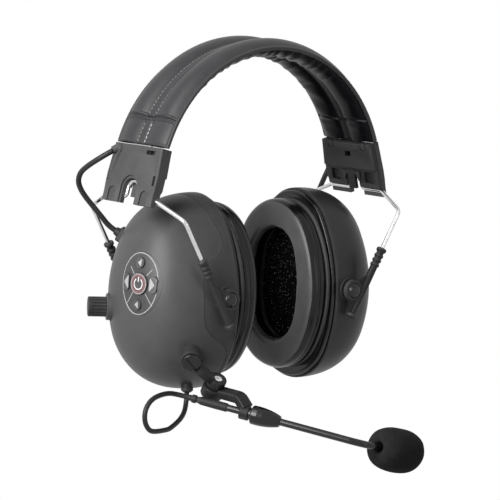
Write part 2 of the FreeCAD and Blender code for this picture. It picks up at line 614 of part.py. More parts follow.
def slider(label, place):
    tube, flange = "Sizes.slider_tube_radius", "Sizes.slider_flange_radius"
    ring_r = "Sizes.slider_ring_radius"
    top = "Sizes.slider_low + Sizes.slider_high"
    profile = [(0, 0), (flange, 0), (flange, 1.5), (tube, 2.1)]
    for k in range(3):
        z = 8.6 - 2.9 * k
        profile += [(tube, "%s - %.1f - 3.0" % (top, z)), (ring_r, "%s - %.1f - 2.6" % (top, z)),
                    (ring_r, "%s - %.1f - 1.4" % (top, z)), (tube, "%s - %.1f - 1.0" % (top, z))]
    profile += [(tube, top + " - 2.4"), (flange, top + " - 1.7"), (flange, top + " - 0.4"),
                ("Sizes.slider_flange_radius - 0.4", top), ("Sizes.slider_bore_radius", top),
                ("Sizes.slider_bore_radius", 1.0), (0, 1.0)]
    body = doc.addObject("PartDesign::Body", label)
    body.Label = label
    sketch = half_section(body, label + "_section", profile)
    turned = body.newObject("PartDesign::Revolution", label + "_turned")
    turned.Profile = sketch
    turned.ReferenceAxis = (sketch, ["V_Axis"])
    turned.Angle = 360
    # Web outline from the tube to the eye ring, drawn in the plane of the tube axis
    away, radius, centre = size("eye_offset"), size("eye_outer_radius"), size("slider_low")
    reach = 12.6
    lean = math.atan2(reach, away - size("slider_tube_radius") + 0.8) + 0.42
    touch = (away + radius * math.cos(lean) * 0.2, radius * 0.96)
    web = body.newObject("Sketcher::SketchObject", label + "_web")
    web.AttachmentSupport = [(origin_plane(body, "XZ_Plane"), "")]
    web.MapMode = "FlatFace"
    inner_x = size("slider_tube_radius") - 0.5
    corners = [(-inner_x, centre + reach), (-inner_x, centre - reach), (-touch[0], centre - touch[1]),
               (-touch[0], centre + touch[1])]
    for i in range(4):
        (x0, z0), (x1, z1) = corners[i], corners[(i + 1) % 4]
        web.addGeometry(Part.LineSegment(Vector(x0, z0, 0), Vector(x1, z1, 0)), False)
    for i in range(4):
        web.addConstraint(Sketcher.Constraint("Coincident", i, 2, (i + 1) % 4, 1))
    pad = body.newObject("PartDesign::Pad", label + "_web_pad")
    pad.Profile = web
    pad.SideType = "Symmetric"
    pad.setExpression("Length", "Sizes.eye_thick - 0.6")
    disc = circle_sketch(body, label + "_eye", radius, "Sizes.eye_outer_radius")
    ring = body.newObject("PartDesign::Pad", label + "_eye_pad")
    ring.Profile = disc
    ring.SideType = "Symmetric"
    ring.setExpression("Length", "Sizes.eye_thick")
    doc.recompute()
    before = body.Shape.Volume
    hole = circle_sketch(body, label + "_hole", size("eye_hole_radius"), "Sizes.eye_hole_radius")
    cut = body.newObject("PartDesign::Pocket", label + "_eye_hole")
    cut.Profile = hole
    cut.SideType = "Symmetric"
    cut.Length = 10
    bore = half_section(body, label + "_bore", [(0, 1.0), ("Sizes.slider_bore_radius", 1.0),
                                                ("Sizes.slider_bore_radius", top), (0, top)])
    groove = body.newObject("PartDesign::Groove", label + "_bore_cut")
    groove.Profile = bore
    groove.ReferenceAxis = (bore, ["V_Axis"])
    groove.Angle = 360
    doc.recompute()
    print("%s eye hole and bore removed %.1f" % (label, before - body.Shape.Volume))
    body.Placement = place
    NODES.append(body)
    return body


def circle_sketch(body, name, radius, expression):
    sketch = body.newObject("Sketcher::SketchObject", name)
    sketch.AttachmentSupport = [(origin_plane(body, "XZ_Plane"), "")]
    sketch.MapMode = "FlatFace"
    centre = Vector(-size("eye_offset"), size("slider_low"), 0)
    sketch.addGeometry(Part.Circle(centre, Vector(0, 0, 1), radius), False)
    for kind, value, bound in (("DistanceX", -size("eye_offset"), "-Sizes.eye_offset"),
                               ("DistanceY", size("slider_low"), "Sizes.slider_low")):
        index = sketch.addConstraint(Sketcher.Constraint(kind, -1, 1, 0, 3, value))
        sketch.setExpression("Constraints[%d]" % index, bound)
    index = sketch.addConstraint(Sketcher.Constraint("Radius", 0, radius))
    sketch.setExpression("Constraints[%d]" % index, expression)
    return sketch


def slider_place(side, y):
    low = leg_point(-size("slider_low"), y)
    turn = Rotation(Vector(0, 1, 0), side * size("leg_lean"))
    if side < 0:
        turn = turn.multiply(Rotation(Vector(0, 0, 1), 180))
    return Placement(Vector(side * low.x, y, low.z), turn)


for side, side_name in ((1, "right"), (-1, "left")):
    for y, y_name in ((-size("leg_y"), "front"), (size("leg_y"), "rear")):
        slider("slider_%s_%s" % (side_name, y_name), slider_place(side, y))

# Pivot caps: a pin with a domed head, its root pressed into the cup boss
pin_base = Vector(size("pivot_x"), 36.0, 0)
pin_step = "Sizes.boss_face_y - 36"
pin = lathe("pivot_pin", [(0, 0), ("Sizes.pin_root_radius", 0), ("Sizes.pin_root_radius", pin_step),
                          ("Sizes.pin_radius", pin_step), ("Sizes.pin_radius", 8.2),
                          ("Sizes.pin_radius - 0.5", 8.9), ("Sizes.pin_radius - 1.6", 9.3), (0, 9.5)],
            frame_on(pin_base, Vector(0, 1, 0)), node=False)
caps_right = pair("pivot_caps_right", pin, Vector(0, 1, 0))
mirrored(caps_right, "pivot_caps_left")

# Ear cushions: a soft ring with a full front roll, its sides drawn in to the seam at the plate
face_x, back_x = size("cushion_face_x"), size("cushion_back_x")


def rim_edges(shape, x, least, most):
    found = []
    for edge in shape.Edges:
        box = edge.BoundBox
        if abs(box.XMin - x) < 1e-4 and abs(box.XMax - x) < 1e-4:
            reach = max(abs(box.YMin), abs(box.YMax), abs(box.ZMin), abs(box.ZMax))
            if least <= reach <= most:
                found.append(edge)
    return found


def cushion_shape():
    body = slab(cushion_egg(0, face_x), back_x - face_x)
    body = body.makeFillet(5.0, rim_edges(body, face_x, 0, 99))
    body = body.makeFillet(2.6, rim_edges(body, back_x, 0, 99))
    body = body.cut(slab(hole_egg(0, face_x - 1), back_x - face_x + 2))
    body = body.makeFillet(3.6, rim_edges(body, face_x, 10, 34))
    return body


cushion_right = feature("cushion_right", cushion_shape())
mirrored(cushion_right, "cushion_left")

# Cushion plate: a thin ring that clips the cushion to the cup
plate = slab(cushion_egg(0.2, back_x), size("plate_back_x") - back_x)
plate = plate.makeFillet(0.8, rim_edges(plate, back_x, 0, 99) + rim_edges(plate, size("plate_back_x"), 0, 99))
plate = plate.cut(slab(hole_egg(-1.9, back_x - 1), size("plate_back_x") - back_x + 2))
plate_right = feature("cushion_plate_right", plate)
mirrored(plate_right, "cushion_plate_left")

# Rim: groove, bead, seat for the foam and a web that carries the speaker
rim_back = size("shell_x")
core = slab(cup_egg(3.2, size("plate_back_x")), rim_back - size("plate_back_x"))
bead = slab(cup_egg(1.4, 34.8), 2.6)
bead = bead.makeFillet(0.9, rim_edges(bead, 34.8, 0, 99) + rim_edges(bead, 37.4, 0, 99))
inner_wall = slab(cup_egg(5.0, rim_back), size("web_x") + size("web_thick") - rim_back)
rim_solid = fuse([core, bead, inner_wall])
seat_depth = size("web_x") - size("plate_back_x")
rim_solid = rim_solid.cut(slab(cup_egg(8.0, size("plate_back_x") - 1), seat_depth + 1))
speaker_hole = Part.makeCylinder(size("speaker_radius") - 2.0, 10,
                                 Vector(size("web_x") - 1, 0, -2), Vector(1, 0, 0))
rim_solid = rim_solid.cut(speaker_hole)
for way in (-1, 1):
    rim_solid = rim_solid.cut(Part.makeCylinder(size("boss_radius") + 0.2, 10,
                                                Vector(size("pivot_x"), way * 33.2, 0), Vector(0, way, 0)))
rim_right = feature("rim_right", rim_solid)
mirrored(rim_right, "rim_left")

# Liner: speckled foam, dished towards the ear, held between cushion plate and web
liner = slab(cup_egg(8.3, size("plate_back_x") + 0.1), seat_depth - 0.1)
dish = Part.makeSphere(60.0, Vector(size("web_x") - 3.2 - 60.0, 0, 0))
liner_right = feature("liner_right", liner.cut(dish))
mirrored(liner_right, "liner_left")

# Speaker: turned basket and magnet behind the web
speaker = lathe("speaker_right", [(0, 0), ("Sizes.speaker_radius", 0), ("Sizes.speaker_radius", 1.8),
                                  ("Sizes.speaker_radius - 2.2", 2.4), ("Sizes.speaker_radius - 4.5", 5.4),
                                  (9.0, 6.2), (9.0, 9.6), (8.4, 10.2), (0, 10.2)],
                frame_on(Vector(size("web_x") + size("web_thick"), 0, -2), Vector(1, 0, 0)))
mirrored(speaker, "speaker_left")

# Right shell: one deep cup with two pivot bosses

def hollow(depth):
    return dome(depth, 0.0, FINE), dome(depth, size("shell_wall"), COARSE)


BOSS_FOOT = 33.5


def boss_pair():
    bosses = []
    for way in (-1, 1):
        foot, out = Vector(size("pivot_x"), way * BOSS_FOOT, 0), Vector(0, way, 0)
        drum = Part.makeCylinder(size("boss_radius"), size("boss_shoulder_y") - BOSS_FOOT, foot, out)
        face = Part.makeCylinder(size("boss_face_radius"), size("boss_face_y") - BOSS_FOOT, foot, out)
        bosses.append(drum.fuse(face))
    return bosses


def pin_holes():
    return [Part.makeCylinder(size("pin_root_radius") + 0.02, 12, Vector(size("pivot_x"), way * 35.9, 0),
                              Vector(0, way, 0)) for way in (-1, 1)]


outer_form, inner_form = hollow(size("dome_right_depth"))
bosses = boss_pair()
shell_right = fuse([outer_form] + bosses).cut(inner_form)
for boss in bosses:
    keep = boss.common(local_box(0, 99, -36.2, 36.2, -50, 50))
    shell_right = shell_right.fuse(keep)
for hole in pin_holes():
    shell_right = shell_right.cut(hole)
feature("shell_right", shell_right)

# Left shell: the same form, deeper, split along a wavy line into an inboard base and an outboard dome
outer_left, inner_left = hollow(size("dome_left_depth"))
PARTING = [(53.0, 64.0), (49.0, 54.0), (46.2, 42.0), (44.0, 31.5), (48.0, 24.6), (56.0, 20.5),
           (60.0, 0.0), (58.0, -15.0), (52.5, -21.5), (46.0, -25.5), (40.6, -31.0), (39.6, -38.0),
           (39.4, -47.0), (39.4, -64.0)]


def outboard(shift):
    """Everything outboard of the parting line, moved outboard by shift."""
    curve = Part.BSplineCurve()
    points = [Vector(x + shift, -60, z) for x, z in PARTING]
    curve.interpolate(points)
    first, last = points[0], points[-1]
    far = Part.makePolygon([last, Vector(120, -60, last.z), Vector(120, -60, first.z), first])
    face = Part.Face(Part.Wire([curve.toShape()] + far.Edges))
    return face.extrude(Vector(0, 120, 0))


hull = outer_left.cut(inner_left)
base = hull.cut(outboard(0.0))
bosses_left = boss_pair()
for boss in bosses_left:
    base = base.fuse(boss.cut(inner_left))
    base = base.fuse(boss.common(local_box(0, 99, -36.2, 36.2, -50, 50)))
# Tongue inside the seam that carries the dome
lip = inner_left.cut(dome(size("dome_left_depth"), size("shell_wall") + 1.2, COARSE))
lip = lip.common(outboard(-1.6)).cut(outboard(2.4))
base = base.fuse(lip)
for hole in pin_holes():
    base = base.cut(hole)
top_shell = hull.common(outboard(0.32))


def to_left(shape):
    return shape.mirror(Vector(0, 0, 0), Vector(1, 0, 0))


# Key pad frame on the left dome: local Z outward, local X to the wearer's front, local Y up
pad_normal = Vector(-0.99, -0.139, 0).normalize()
pad_centre = Vector(-85.8, -10.3, 7.1)
pad_frame = frame_on(pad_centre, pad_normal, Vector(0.139, -0.99, 0))


def oval(half_x, half_y, z0, z1):
    curve = Part.Ellipse(Vector(0, half_y, 0), Vector(half_x, 0, 0), Vector(0, 0, 0))
    face = Part.Face(Part.Wire([curve.toShape()]))
    face.translate(Vector(0, 0, z0))
    return face.extrude(Vector(0, 0, z1 - z0))


def stadium(x, y, half_x, half_y, z0, z1):
    """Upright slot form: two round ends and a straight body."""
    low, high = Vector(x, y - half_y + half_x, z0), Vector(x, y + half_y - half_x, z0)
    deep = z1 - z0
    parts = [Part.makeCylinder(half_x, deep, low), Part.makeCylinder(half_x, deep, high)]
    if high.y > low.y:
        parts.append(Part.makeBox(2 * half_x, high.y - low.y, deep, Vector(x - half_x, low.y, z0)))
    return fuse(parts).removeSplitter()


BUTTONS = [("power_button", 0.0, 0.0, size("power_radius"), size("power_radius")),
           ("button_up", -0.4, 11.9, 2.8, 2.9), ("button_down", -0.4, -11.9, 2.7, 2.8),
           ("button_rear", -10.0, 0.2, 2.3, 4.6), ("button_front", 10.0, 0.2, 2.3, 4.6)]
gap = size("keypad_gap")
dome_left = to_left(top_shell)
skin_low = to_left(dome(size("dome_left_depth"), 3.2, COARSE))
skin_face = to_left(dome(size("dome_left_depth"), 0.15, FINE))
skin_proud = to_left(dome(size("dome_left_depth"), -size("button_proud"), FINE))


def in_pad_frame(shape):
    shape.Placement = pad_frame
    return shape


opening = in_pad_frame(oval(size("keypad_half_width") + gap, size("keypad_half_height") + gap, -16, 12))
dome_left = dome_left.cut(opening)
plate_tool = in_pad_frame(oval(size("keypad_half_width"), size("keypad_half_height"), -16, 12))
keypad = skin_face.cut(skin_low).common(plate_tool)
buttons = []
proud_skin = skin_proud.cut(skin_low)
for name, x, y, half_x, half_y in BUTTONS:
    keypad = keypad.cut(in_pad_frame(stadium(x, y, half_x + gap, half_y + gap, -16, 12)))
    buttons.append((name, proud_skin.common(in_pad_frame(stadium(x, y, half_x, half_y, -16, 12)))))
feature("keypad_plate", keypad)
for name, shape in buttons:
    feature(name, shape)

# Volume knob on the left dome: base and collar fixed, fluted knob turning on its own shaft
knob_axis = Vector(-0.85, 0.53, 0).normalize()
knob_base = Vector(-79.5, 19.9, -10.4)
knob_frame = frame_on(knob_base, knob_axis)
base_len, collar_len = size("knob_base_length"), size("knob_collar_length")
root = 4.5
seat = Part.makeCylinder(size("knob_base_radius"), 24.0, Vector(0, 0, -root))
seat.Placement = knob_frame
dome_left = dome_left.cut(seat)
collar_place = frame_on(knob_base - knob_axis * root, knob_axis)
base_top = "%.1f + Sizes.knob_base_length" % root
collar_top = base_top + " + Sizes.knob_collar_length"
lathe("knob_collar", [(3.06, 0), ("Sizes.knob_base_radius - 0.05", 0),
                      ("Sizes.knob_base_radius - 0.05", base_top + " - 0.5"),
                      ("Sizes.knob_base_radius - 0.35", base_top), ("Sizes.knob_collar_radius", base_top),
                      ("Sizes.knob_collar_radius", collar_top + " - 0.3"),
                      ("Sizes.knob_collar_radius - 0.5", collar_top), (3.06, collar_top)], collar_place)
knob = Part.makeCylinder(size("knob_radius"), size("knob_length"))
knob = knob.makeFillet(0.8, [e for e in knob.Edges if e.BoundBox.ZMin > size("knob_length") - 0.1])
flutes = []
for k in range(18):
    angle = math.radians(20.0 * k)
    flutes.append(Part.makeCylinder(0.55, size("knob_length") - 2.4,
                                    Vector((size("knob_radius") + 0.15) * math.cos(angle),
                                           (size("knob_radius") + 0.15) * math.sin(angle), -0.1)))
knob = knob.cut(Part.makeCompound(flutes))
knob = knob.fuse(Part.makeCylinder(3.0, 8.6, Vector(0, 0, -8.6)))
knob_lift = base_len + collar_len + 0.2
feature("volume_knob", knob, frame_on(knob_base + knob_axis * knob_lift, knob_axis))

# Boom port: ribbed barrel through the dome, bracket hub, slotted cap
port_axis = Vector(-0.55, -0.76, -0.345).normalize()
port_face = Vector(-70.6, -41.0, -34.9)
port_root = 9.0
port_base = port_face - port_axis * (size("port_length") + port_root)
barrel_top = size("port_length") + port_root - size("hub_thick") - size("cap_thick") - 0.1
passage = Part.makeCylinder(size("port_radius") + 0.05, 30, port_base, port_axis)
dome_left = dome_left.cut(passage)
ribs = [(1.9, 0), ("Sizes.port_radius", 0)]
for k in range(4):
    z = port_root + 1.6 + 1.75 * k
    ribs += [("Sizes.port_radius", z), ("Sizes.port_radius - 0.55", z + 0.25),
             ("Sizes.port_radius - 0.55", z + 0.75), ("Sizes.port_radius", z + 1.0)]
ribs += [("Sizes.port_radius", "%.3f" % barrel_top), (1.9, "%.3f" % barrel_top)]
lathe("boom_port", ribs, frame_on(port_base, port_axis))
cap = Part.makeCylinder(size("port_radius") + 0.1, size("cap_thick"))
cap = cap.makeFillet(0.7, [e for e in cap.Edges if e.BoundBox.ZMin > size("cap_thick") - 0.1])
cap = cap.cut(Part.makeBox(9.4, 1.5, 2.0, Vector(-4.7, -0.75, size("cap_thick") - 0.8)))
cap = cap.fuse(Part.makeCylinder(1.85, 14.0, Vector(0, 0, -14.0)))
cap_frame = frame_on(port_face - port_axis * size("cap_thick"), port_axis, Vector(0.6, -0.2, -0.75))
feature("port_cap", cap, cap_frame)

# Rear gland and lower cable fitting on the left dome
gland_way = Vector(0.60, 0.62, 0.50).normalize()


def gland():
    block = Part.makeBox(9.0, 6.6, 9.0, Vector(-4.5, -3.3, -6.0))
    block = block.makeFillet(1.2, [e for e in block.Edges if e.BoundBox.ZLength > 8 or e.BoundBox.ZMin > 2.9])
    block = block.fuse(Part.makeCone(2.9, 2.2, 2.6, Vector(0, 0, 2.9)))
    return block


gland_seat_right = frame_on(Vector(66.2, 26.0, 29.4), gland_way, Vector(0, 0, 1))
gland_seat_left = frame_on(Vector(69.6, 27.0, 29.4), gland_way, Vector(0, 0, 1))
gland_right = feature("cable_gland_right", gland(), gland_seat_right)
gland_left_mould = feature("cable_gland_left_mould", gland(), gland_seat_left, node=False)
mirrored(gland_left_mould, "cable_gland_left")
room = Part.makeBox(9.04, 6.64, 20.0, Vector(-4.52, -3.32, -6.02))
room.Placement = gland_seat_left
dome_left = dome_left.cut(to_left(room))
room_right = Part.makeBox(9.04, 6.64, 20.0, Vector(-4.52, -3.32, -6.02))
room_right.Placement = gland_seat_right
shell_node = [item for item in NODES if item.Label == "shell_right"][0]
shell_node.Shape = shell_node.Shape.cut(room_right)
socket_way = Vector(-0.08, -0.1, -1.0).normalize()
socket_base = Vector(-52.0, -14.6, -44.0)
lathe("mic_socket", [(0, 0), (3.2, 0), (3.2, 9.4), (3.5, 9.7), (3.5, 11.4), (2.2, 12.6), (0, 12.6)],
      frame_on(socket_base, socket_way))
dome_left = dome_left.cut(Part.makeCylinder(3.22, 13, socket_base - socket_way * 0.5, socket_way))
dome_left = dome_left.cut(Part.makeCylinder(3.8, 8, socket_base + socket_way * 9.3, socket_way))
feature("dome_left", dome_left)
feature("base_shell_left", to_left(base))

# Circuit board and battery inside the left cup
board = doc.addObject("Part::Box", "circuit_board")
board.Label = "circuit_board"
board.Length, board.Width, board.Height = 1.6, 36.0, 42.0
board.Placement = Placement(Vector(-71.6, -20.0, -17.0), Rotation())
NODES.append(board)
cell = doc.addObject("Part::Cylinder", "battery")
cell.Label = "battery"
cell.Radius, cell.Height = 7.1, 42.0
cell.Placement = Placement(Vector(-61.4, 14.0, -21.0), Rotation())
NODES.append(cell)

# Boom bracket: hub under the port cap, upper arm and upper hinge boss with its screw
hinge_axis = Vector(-0.078, -0.552, 0.828).normalize()
hinge_top = Vector(-53.7, -44.3, -43.7)
one_low, one_high = -5.8, 0.0
two_low, two_high = -13.0, -6.1
hub_low = port_face - port_axis * (size("cap_thick") + size("hub_thick") + 0.03)
hub = Part.makeCylinder(size("port_radius") + 0.6, size("hub_thick") - 0.03, hub_low, port_axis)
hub_mid = hub_low + port_axis * (size("hub_thick") / 2)
boss_one_mid = hinge_top + hinge_axis * ((one_low + one_high) / 2)
elbow = hub_mid + (boss_one_mid - hub_mid) * 0.5 + Vector(-0.6, -1.6, -1.2)
arm_way = [hub_mid + (elbow - hub_mid).normalize() * 3.6, elbow,
           boss_one_mid + (elbow - boss_one_mid).normalize() * 2.0]
arm_one = bar_along(rounded_path(arm_way, [14.0]), size("bracket_width"), size("bracket_height"), hinge_axis)
boss_one = Part.makeCylinder(size("hinge_one_radius"), one_high - one_low,
                             hinge_top + hinge_axis * one_low, hinge_axis)
boss_one = boss_one.makeFillet(1.1, [e for e in boss_one.Edges if len(e.Vertexes) == 1])
bracket = fuse([hub, arm_one, boss_one])
bracket = bracket.cut(Part.makeCylinder(1.9, 10, hub_low - port_axis * 2, port_axis))
room = 0.3
bracket = bracket.cut(Part.makeCylinder(size("port_radius") + 0.1 + room, 8,
                                        hub_low + port_axis * (size("hub_thick") - 0.03), port_axis))
bracket = bracket.cut(Part.makeCylinder(size("port_radius") + room, 12, hub_low - port_axis * 12, port_axis))
bracket = bracket.cut(Part.makeCylinder(22.0, 20, hinge_top + hinge_axis * (one_low - 20), hinge_axis))
bracket = bracket.cut(Part.makeCylinder(1.65, 10, hinge_top + hinge_axis * (one_low - 2), hinge_axis))
bracket = bracket.cut(Part.makeCylinder(2.6, 4, hinge_top - hinge_axis * 1.6, hinge_axis))
feature("boom_bracket", bracket)
screw = fuse([Part.makeCylinder(1.62, 9.4, Vector(0, 0, -9.4)), Part.makeCylinder(2.5, 1.2, Vector(0, 0, 0))])
screw = screw.cut(Part.makeBox(3.4, 0.7, 0.7, Vector(-1.7, -0.35, 0.6)))
screw = screw.cut(Part.makeBox(0.7, 3.4, 0.7, Vector(-0.35, -1.7, 0.6)))
feature("boom_screw", screw, frame_on(hinge_top - hinge_axis * 1.6, hinge_axis))

# Boom arm: lower hinge boss, curved arm and the clamp on the tube
clamp_centre = Vector(-47.2, -62.0, -61.2)
tube_way = Vector(0.560, -0.810, -0.172).normalize()
boss_two = Part.makeCylinder(size("hinge_two_radius"), two_high - two_low,
                             hinge_top + hinge_axis * two_low, hinge_axis)
boss_two = boss_two.makeFillet(0.9, [e for e in boss_two.Edges if len(e.Vertexes) == 1])
two_mid = hinge_top + hinge_axis * ((two_low + two_high) / 2)
bend = Vector(-47.9, -57.2, -53.4)
arm_path = [two_mid + (bend - two_mid).normalize() * 3.0, bend, clamp_centre + Vector(0.2, 0.2, 2.6)]
arm_two = bar_along(rounded_path(arm_path, [5.0]), size("arm_width"), size("arm_height"), hinge_axis)
clamp = Part.makeCylinder(4.2, 5.4, clamp_centre - tube_way * 3.4, tube_way)
clamp = clamp.makeFillet(0.5, [e for e in clamp.Edges if len(e.Vertexes) == 1])
arm = fuse([boss_two, arm_two, clamp])
arm = arm.cut(Part.makeCylinder(size("hinge_one_radius") + 0.4, 9,
                                hinge_top + hinge_axis * two_high, hinge_axis))
arm = arm.cut(Part.makeCylinder(1.68, 10.4, hinge_top + hinge_axis * (two_low + 1.5), hinge_axis))
arm = arm.cut(Part.makeCylinder(size("boom_bore_radius"), 16, clamp_centre - tube_way * 8, tube_way))
feature("boom_arm", arm)
lathe("boom_collar", [("Sizes.boom_bore_radius", 0), (3.4, 0), (3.4, 1.5), (4.9, 1.5), (5.35, 2.0),
                      (5.45, 5.0), (5.3, 8.2), (4.9, 11.4), (4.3, 14.2), (3.6, 16.6), (3.15, 17.9),
                      (2.7, 18.2), ("Sizes.boom_bore_radius", 18.2)],
      frame_on(clamp_centre + tube_way * 2.0, tube_way))

# Boom: tube with a bent end, tail sleeve, ribbed relief, capsule and foam windscreen, sliding together
tail, sleeve_long, relief_long = 11.0, 16.4, 6.6
boom_corner = clamp_centre + tube_way * size("boom_reach")
foam_way = Vector(0.960, 0.166, -0.226).normalize()
foam_base = boom_corner + foam_way * size("boom_end_run")
boom_path = rounded_path([clamp_centre - tube_way * tail, boom_corner, foam_base + foam_way * 6.0],
                         [size("boom_bend_radius")])
feature("boom_tube", tube_along(boom_path, size("boom_tube_radius"), "boom tube"))
lathe("tail_sleeve", [(0, 0), (2.1, 0), (2.35, 0.6), (2.5, 8.0), (2.5, 15.6), (2.3, 16.4), (0, 16.4)],
      frame_on(clamp_centre - tube_way * (tail + sleeve_long), tube_way))
lathe("boom_relief", [(0, 0), (1.7, 0), (1.75, 1.5), (2.3, 2.0), (2.4, 3.4), (2.3, 4.4), (1.65, 4.8),
                      (1.65, 5.4), (2.0, 5.7), (2.0, 6.6), (0, 6.6)],
      frame_on(clamp_centre - tube_way * (tail + sleeve_long + relief_long), tube_way))
lathe("mic_capsule", [(0, 0), (4.0, 0), (4.75, 0.8), (4.75, 9.2), (4.0, 9.9), (0, 9.9)],
      frame_on(foam_base + foam_way * 6.05, foam_way))
length, full = size("windscreen_length"), size("windscreen_radius")


def foam_arc(first, middle, last):
    """Arc between points given as shares of the foam's radius and length."""
    return Part.Arc(*[Vector(r * full, 0, z * length) for r, z in (first, middle, last)]).toShape()


shoulder, rise = 0.755 * full, 0.115 * length
ball = (shoulder ** 2 + rise ** 2) / (2 * rise)
half_angle = math.asin(shoulder / ball) / 2
crown = (ball * math.sin(half_angle) / full, 1 - ball * (1 - math.cos(half_angle)) / length)
foam_edges = [foam_arc((0.40, 0.0), (0.72, 0.05), (0.90, 0.165)),
              foam_arc((0.90, 0.165), (0.985, 0.33), (1.0, 0.5)),
              foam_arc((1.0, 0.5), (0.945, 0.72), (0.755, 0.885)),
              foam_arc((0.755, 0.885), crown, (0.0, 1.0)),
              Part.makeLine(Vector(0, 0, length), Vector(0, 0, 0)),
              Part.makeLine(Vector(0, 0, 0), Vector(0.4 * full, 0, 0))]
foam = Part.Face(Part.Wire(foam_edges)).revolve(Vector(0, 0, 0), Vector(0, 0, 1), 360)
foam = foam.cut(Part.makeCylinder(3.0, 4.0, Vector(0, 0, -0.1)))
foam = foam.cut(Part.makeCylinder(2.03, 6.2, Vector(0, 0, -0.1)))
foam = foam.cut(Part.makeCylinder(4.8, 10.0, Vector(0, 0, 6.0)))
feature("windscreen", foam, frame_on(foam_base, foam_way))

# Free cables: corner points in world coordinates, each piece crossing one joint
exit_world = block_place().multVec(cable_exit + exit_way * 2.4)
exit_dir = block_place().Rotation.multVec(exit_way)
left_exit = Vector(-exit_world.x, exit_world.y, exit_world.z)
left_dir = Vector(-exit_dir.x, exit_dir.y, exit_dir.z)
END_UPPER = Vector(-91.56, 38.38, 54.68)
ABOVE = [(-94.8, 32.6, 68.4), (-95.2, 36.8, 63.8), (-93.9, 38.8, 58.4)]
BELOW = [(-90.0, 38.1, 52.2), (-84.8, 36.4, 45.9), (-79.9, 34.5, 39.9)]
gland_tip_left = to_left(Part.Vertex(gland_seat_left.multVec(Vector(0, 0, 5.5)))).Point
gland_tip_right = gland_seat_right.multVec(Vector(0, 0, 5.5))
gland_dir_left = Vector(-gland_way.x, gland_way.y, gland_way.z)
UPPER = [tuple(left_exit), tuple(left_exit + left_dir * 6.5)] + ABOVE + [tuple(END_UPPER)]
LOWER = [tuple(END_UPPER)] + BELOW + [tuple(gland_tip_left + gland_dir_left * 4.2), tuple(gland_tip_left)]
cross = size("cross_cord_diameter")
cord("cross_cable_left_upper", UPPER, cross)
cord("cross_cable_left_lower", LOWER, cross)
RIGHT_UPPER = [(-x, y, z) for x, y, z in UPPER]
RIGHT_LOWER = [(-x, y, z) for x, y, z in LOWER[:3]]
RIGHT_LOWER += [(78.6, 34.0, 39.6), tuple(gland_tip_right + gland_way * 4.2), tuple(gland_tip_right)]
cord("cross_cable_right_upper", RIGHT_UPPER, cross)
cord("cross_cable_right_lower", RIGHT_LOWER, cross)
for route in (UPPER, LOWER, RIGHT_LOWER):
    print("route", [tuple(round(value, 2) for value in point) for point in route])

# Microphone cable: from the lower fitting round a hanging loop to the tail of the boom
socket_tip = socket_base + socket_way * 12.6
relief_end = clamp_centre - tube_way * (tail + sleeve_long + relief_long)
JOIN_ONE = (-76.6, -28.91, -73.65)
JOIN_TWO = (-92.9, -32.75, -56.25)
mic = size("mic_cord_diameter")
cord("mic_cable_socket", [tuple(socket_tip), tuple(socket_tip + socket_way * 7.0),
                          (-61.8, -23.6, -69.0), (-74.2, -28.3, -73.6), JOIN_ONE], mic)
cord("mic_cable_bracket", [JOIN_ONE, (-89.2, -32.1, -73.9), (-94.6, -33.1, -70.2), (-96.9, -33.5, -64.6),
                           (-95.6, -33.2, -58.6), JOIN_TWO], mic)
cord("mic_cable_arm", [JOIN_TWO, (-90.2, -32.3, -53.9), (-78.4, -30.0, -52.4),
                       tuple(relief_end - tube_way * 6.5), tuple(relief_end)], mic)

doc.recompute()

# Writing the pieces
os.makedirs("parts", exist_ok=True)
problems = []
triangles = 0
for item in NODES:
    shape = item.Shape
    bad = [word for word in item.State if word in ("Invalid", "Error")]
    if bad or shape.isNull() or not shape.isValid() or not shape.Solids:
        problems.append("%s %s" % (item.Label, bad))
        continue
    count = len(MeshPart.meshFromShape(Shape=shape, LinearDeflection=0.2, AngularDeflection=0.6).Facets)
    triangles += count
    box = shape.BoundBox
    spans = ((box.XMin, box.XMax), (box.YMin, box.YMax), (box.ZMin, box.ZMax))
    extent = " ".join("%.1f..%.1f" % span for span in spans)
    print("%-26s %7.0f mm3 %2d solids %5d tri  %s" % (item.Label, shape.Volume, len(shape.Solids),
                                                      count, extent))
    shape.exportStep("parts/%s.step" % item.Label)
print("pieces", len(NODES), "triangles", triangles)
if problems:
    raise RuntimeError("pieces that failed: " + ", ".join(problems))
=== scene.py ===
# %% [markdown]
# # A wireless aviation headset, dressed for a studio photograph
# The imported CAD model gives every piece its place, in metres, with +Z up and the microphone cup on -X.
# This script keeps those places, adds the looks, and replaces the soft pieces with fuller forms. All of it
# could be modelled by hand. A script was chosen, because it gives the same result each run.

import json
import math

import bmesh
import bpy
import numpy as np
from mathutils import Matrix, Vector
from mathutils.bvhtree import BVHTree

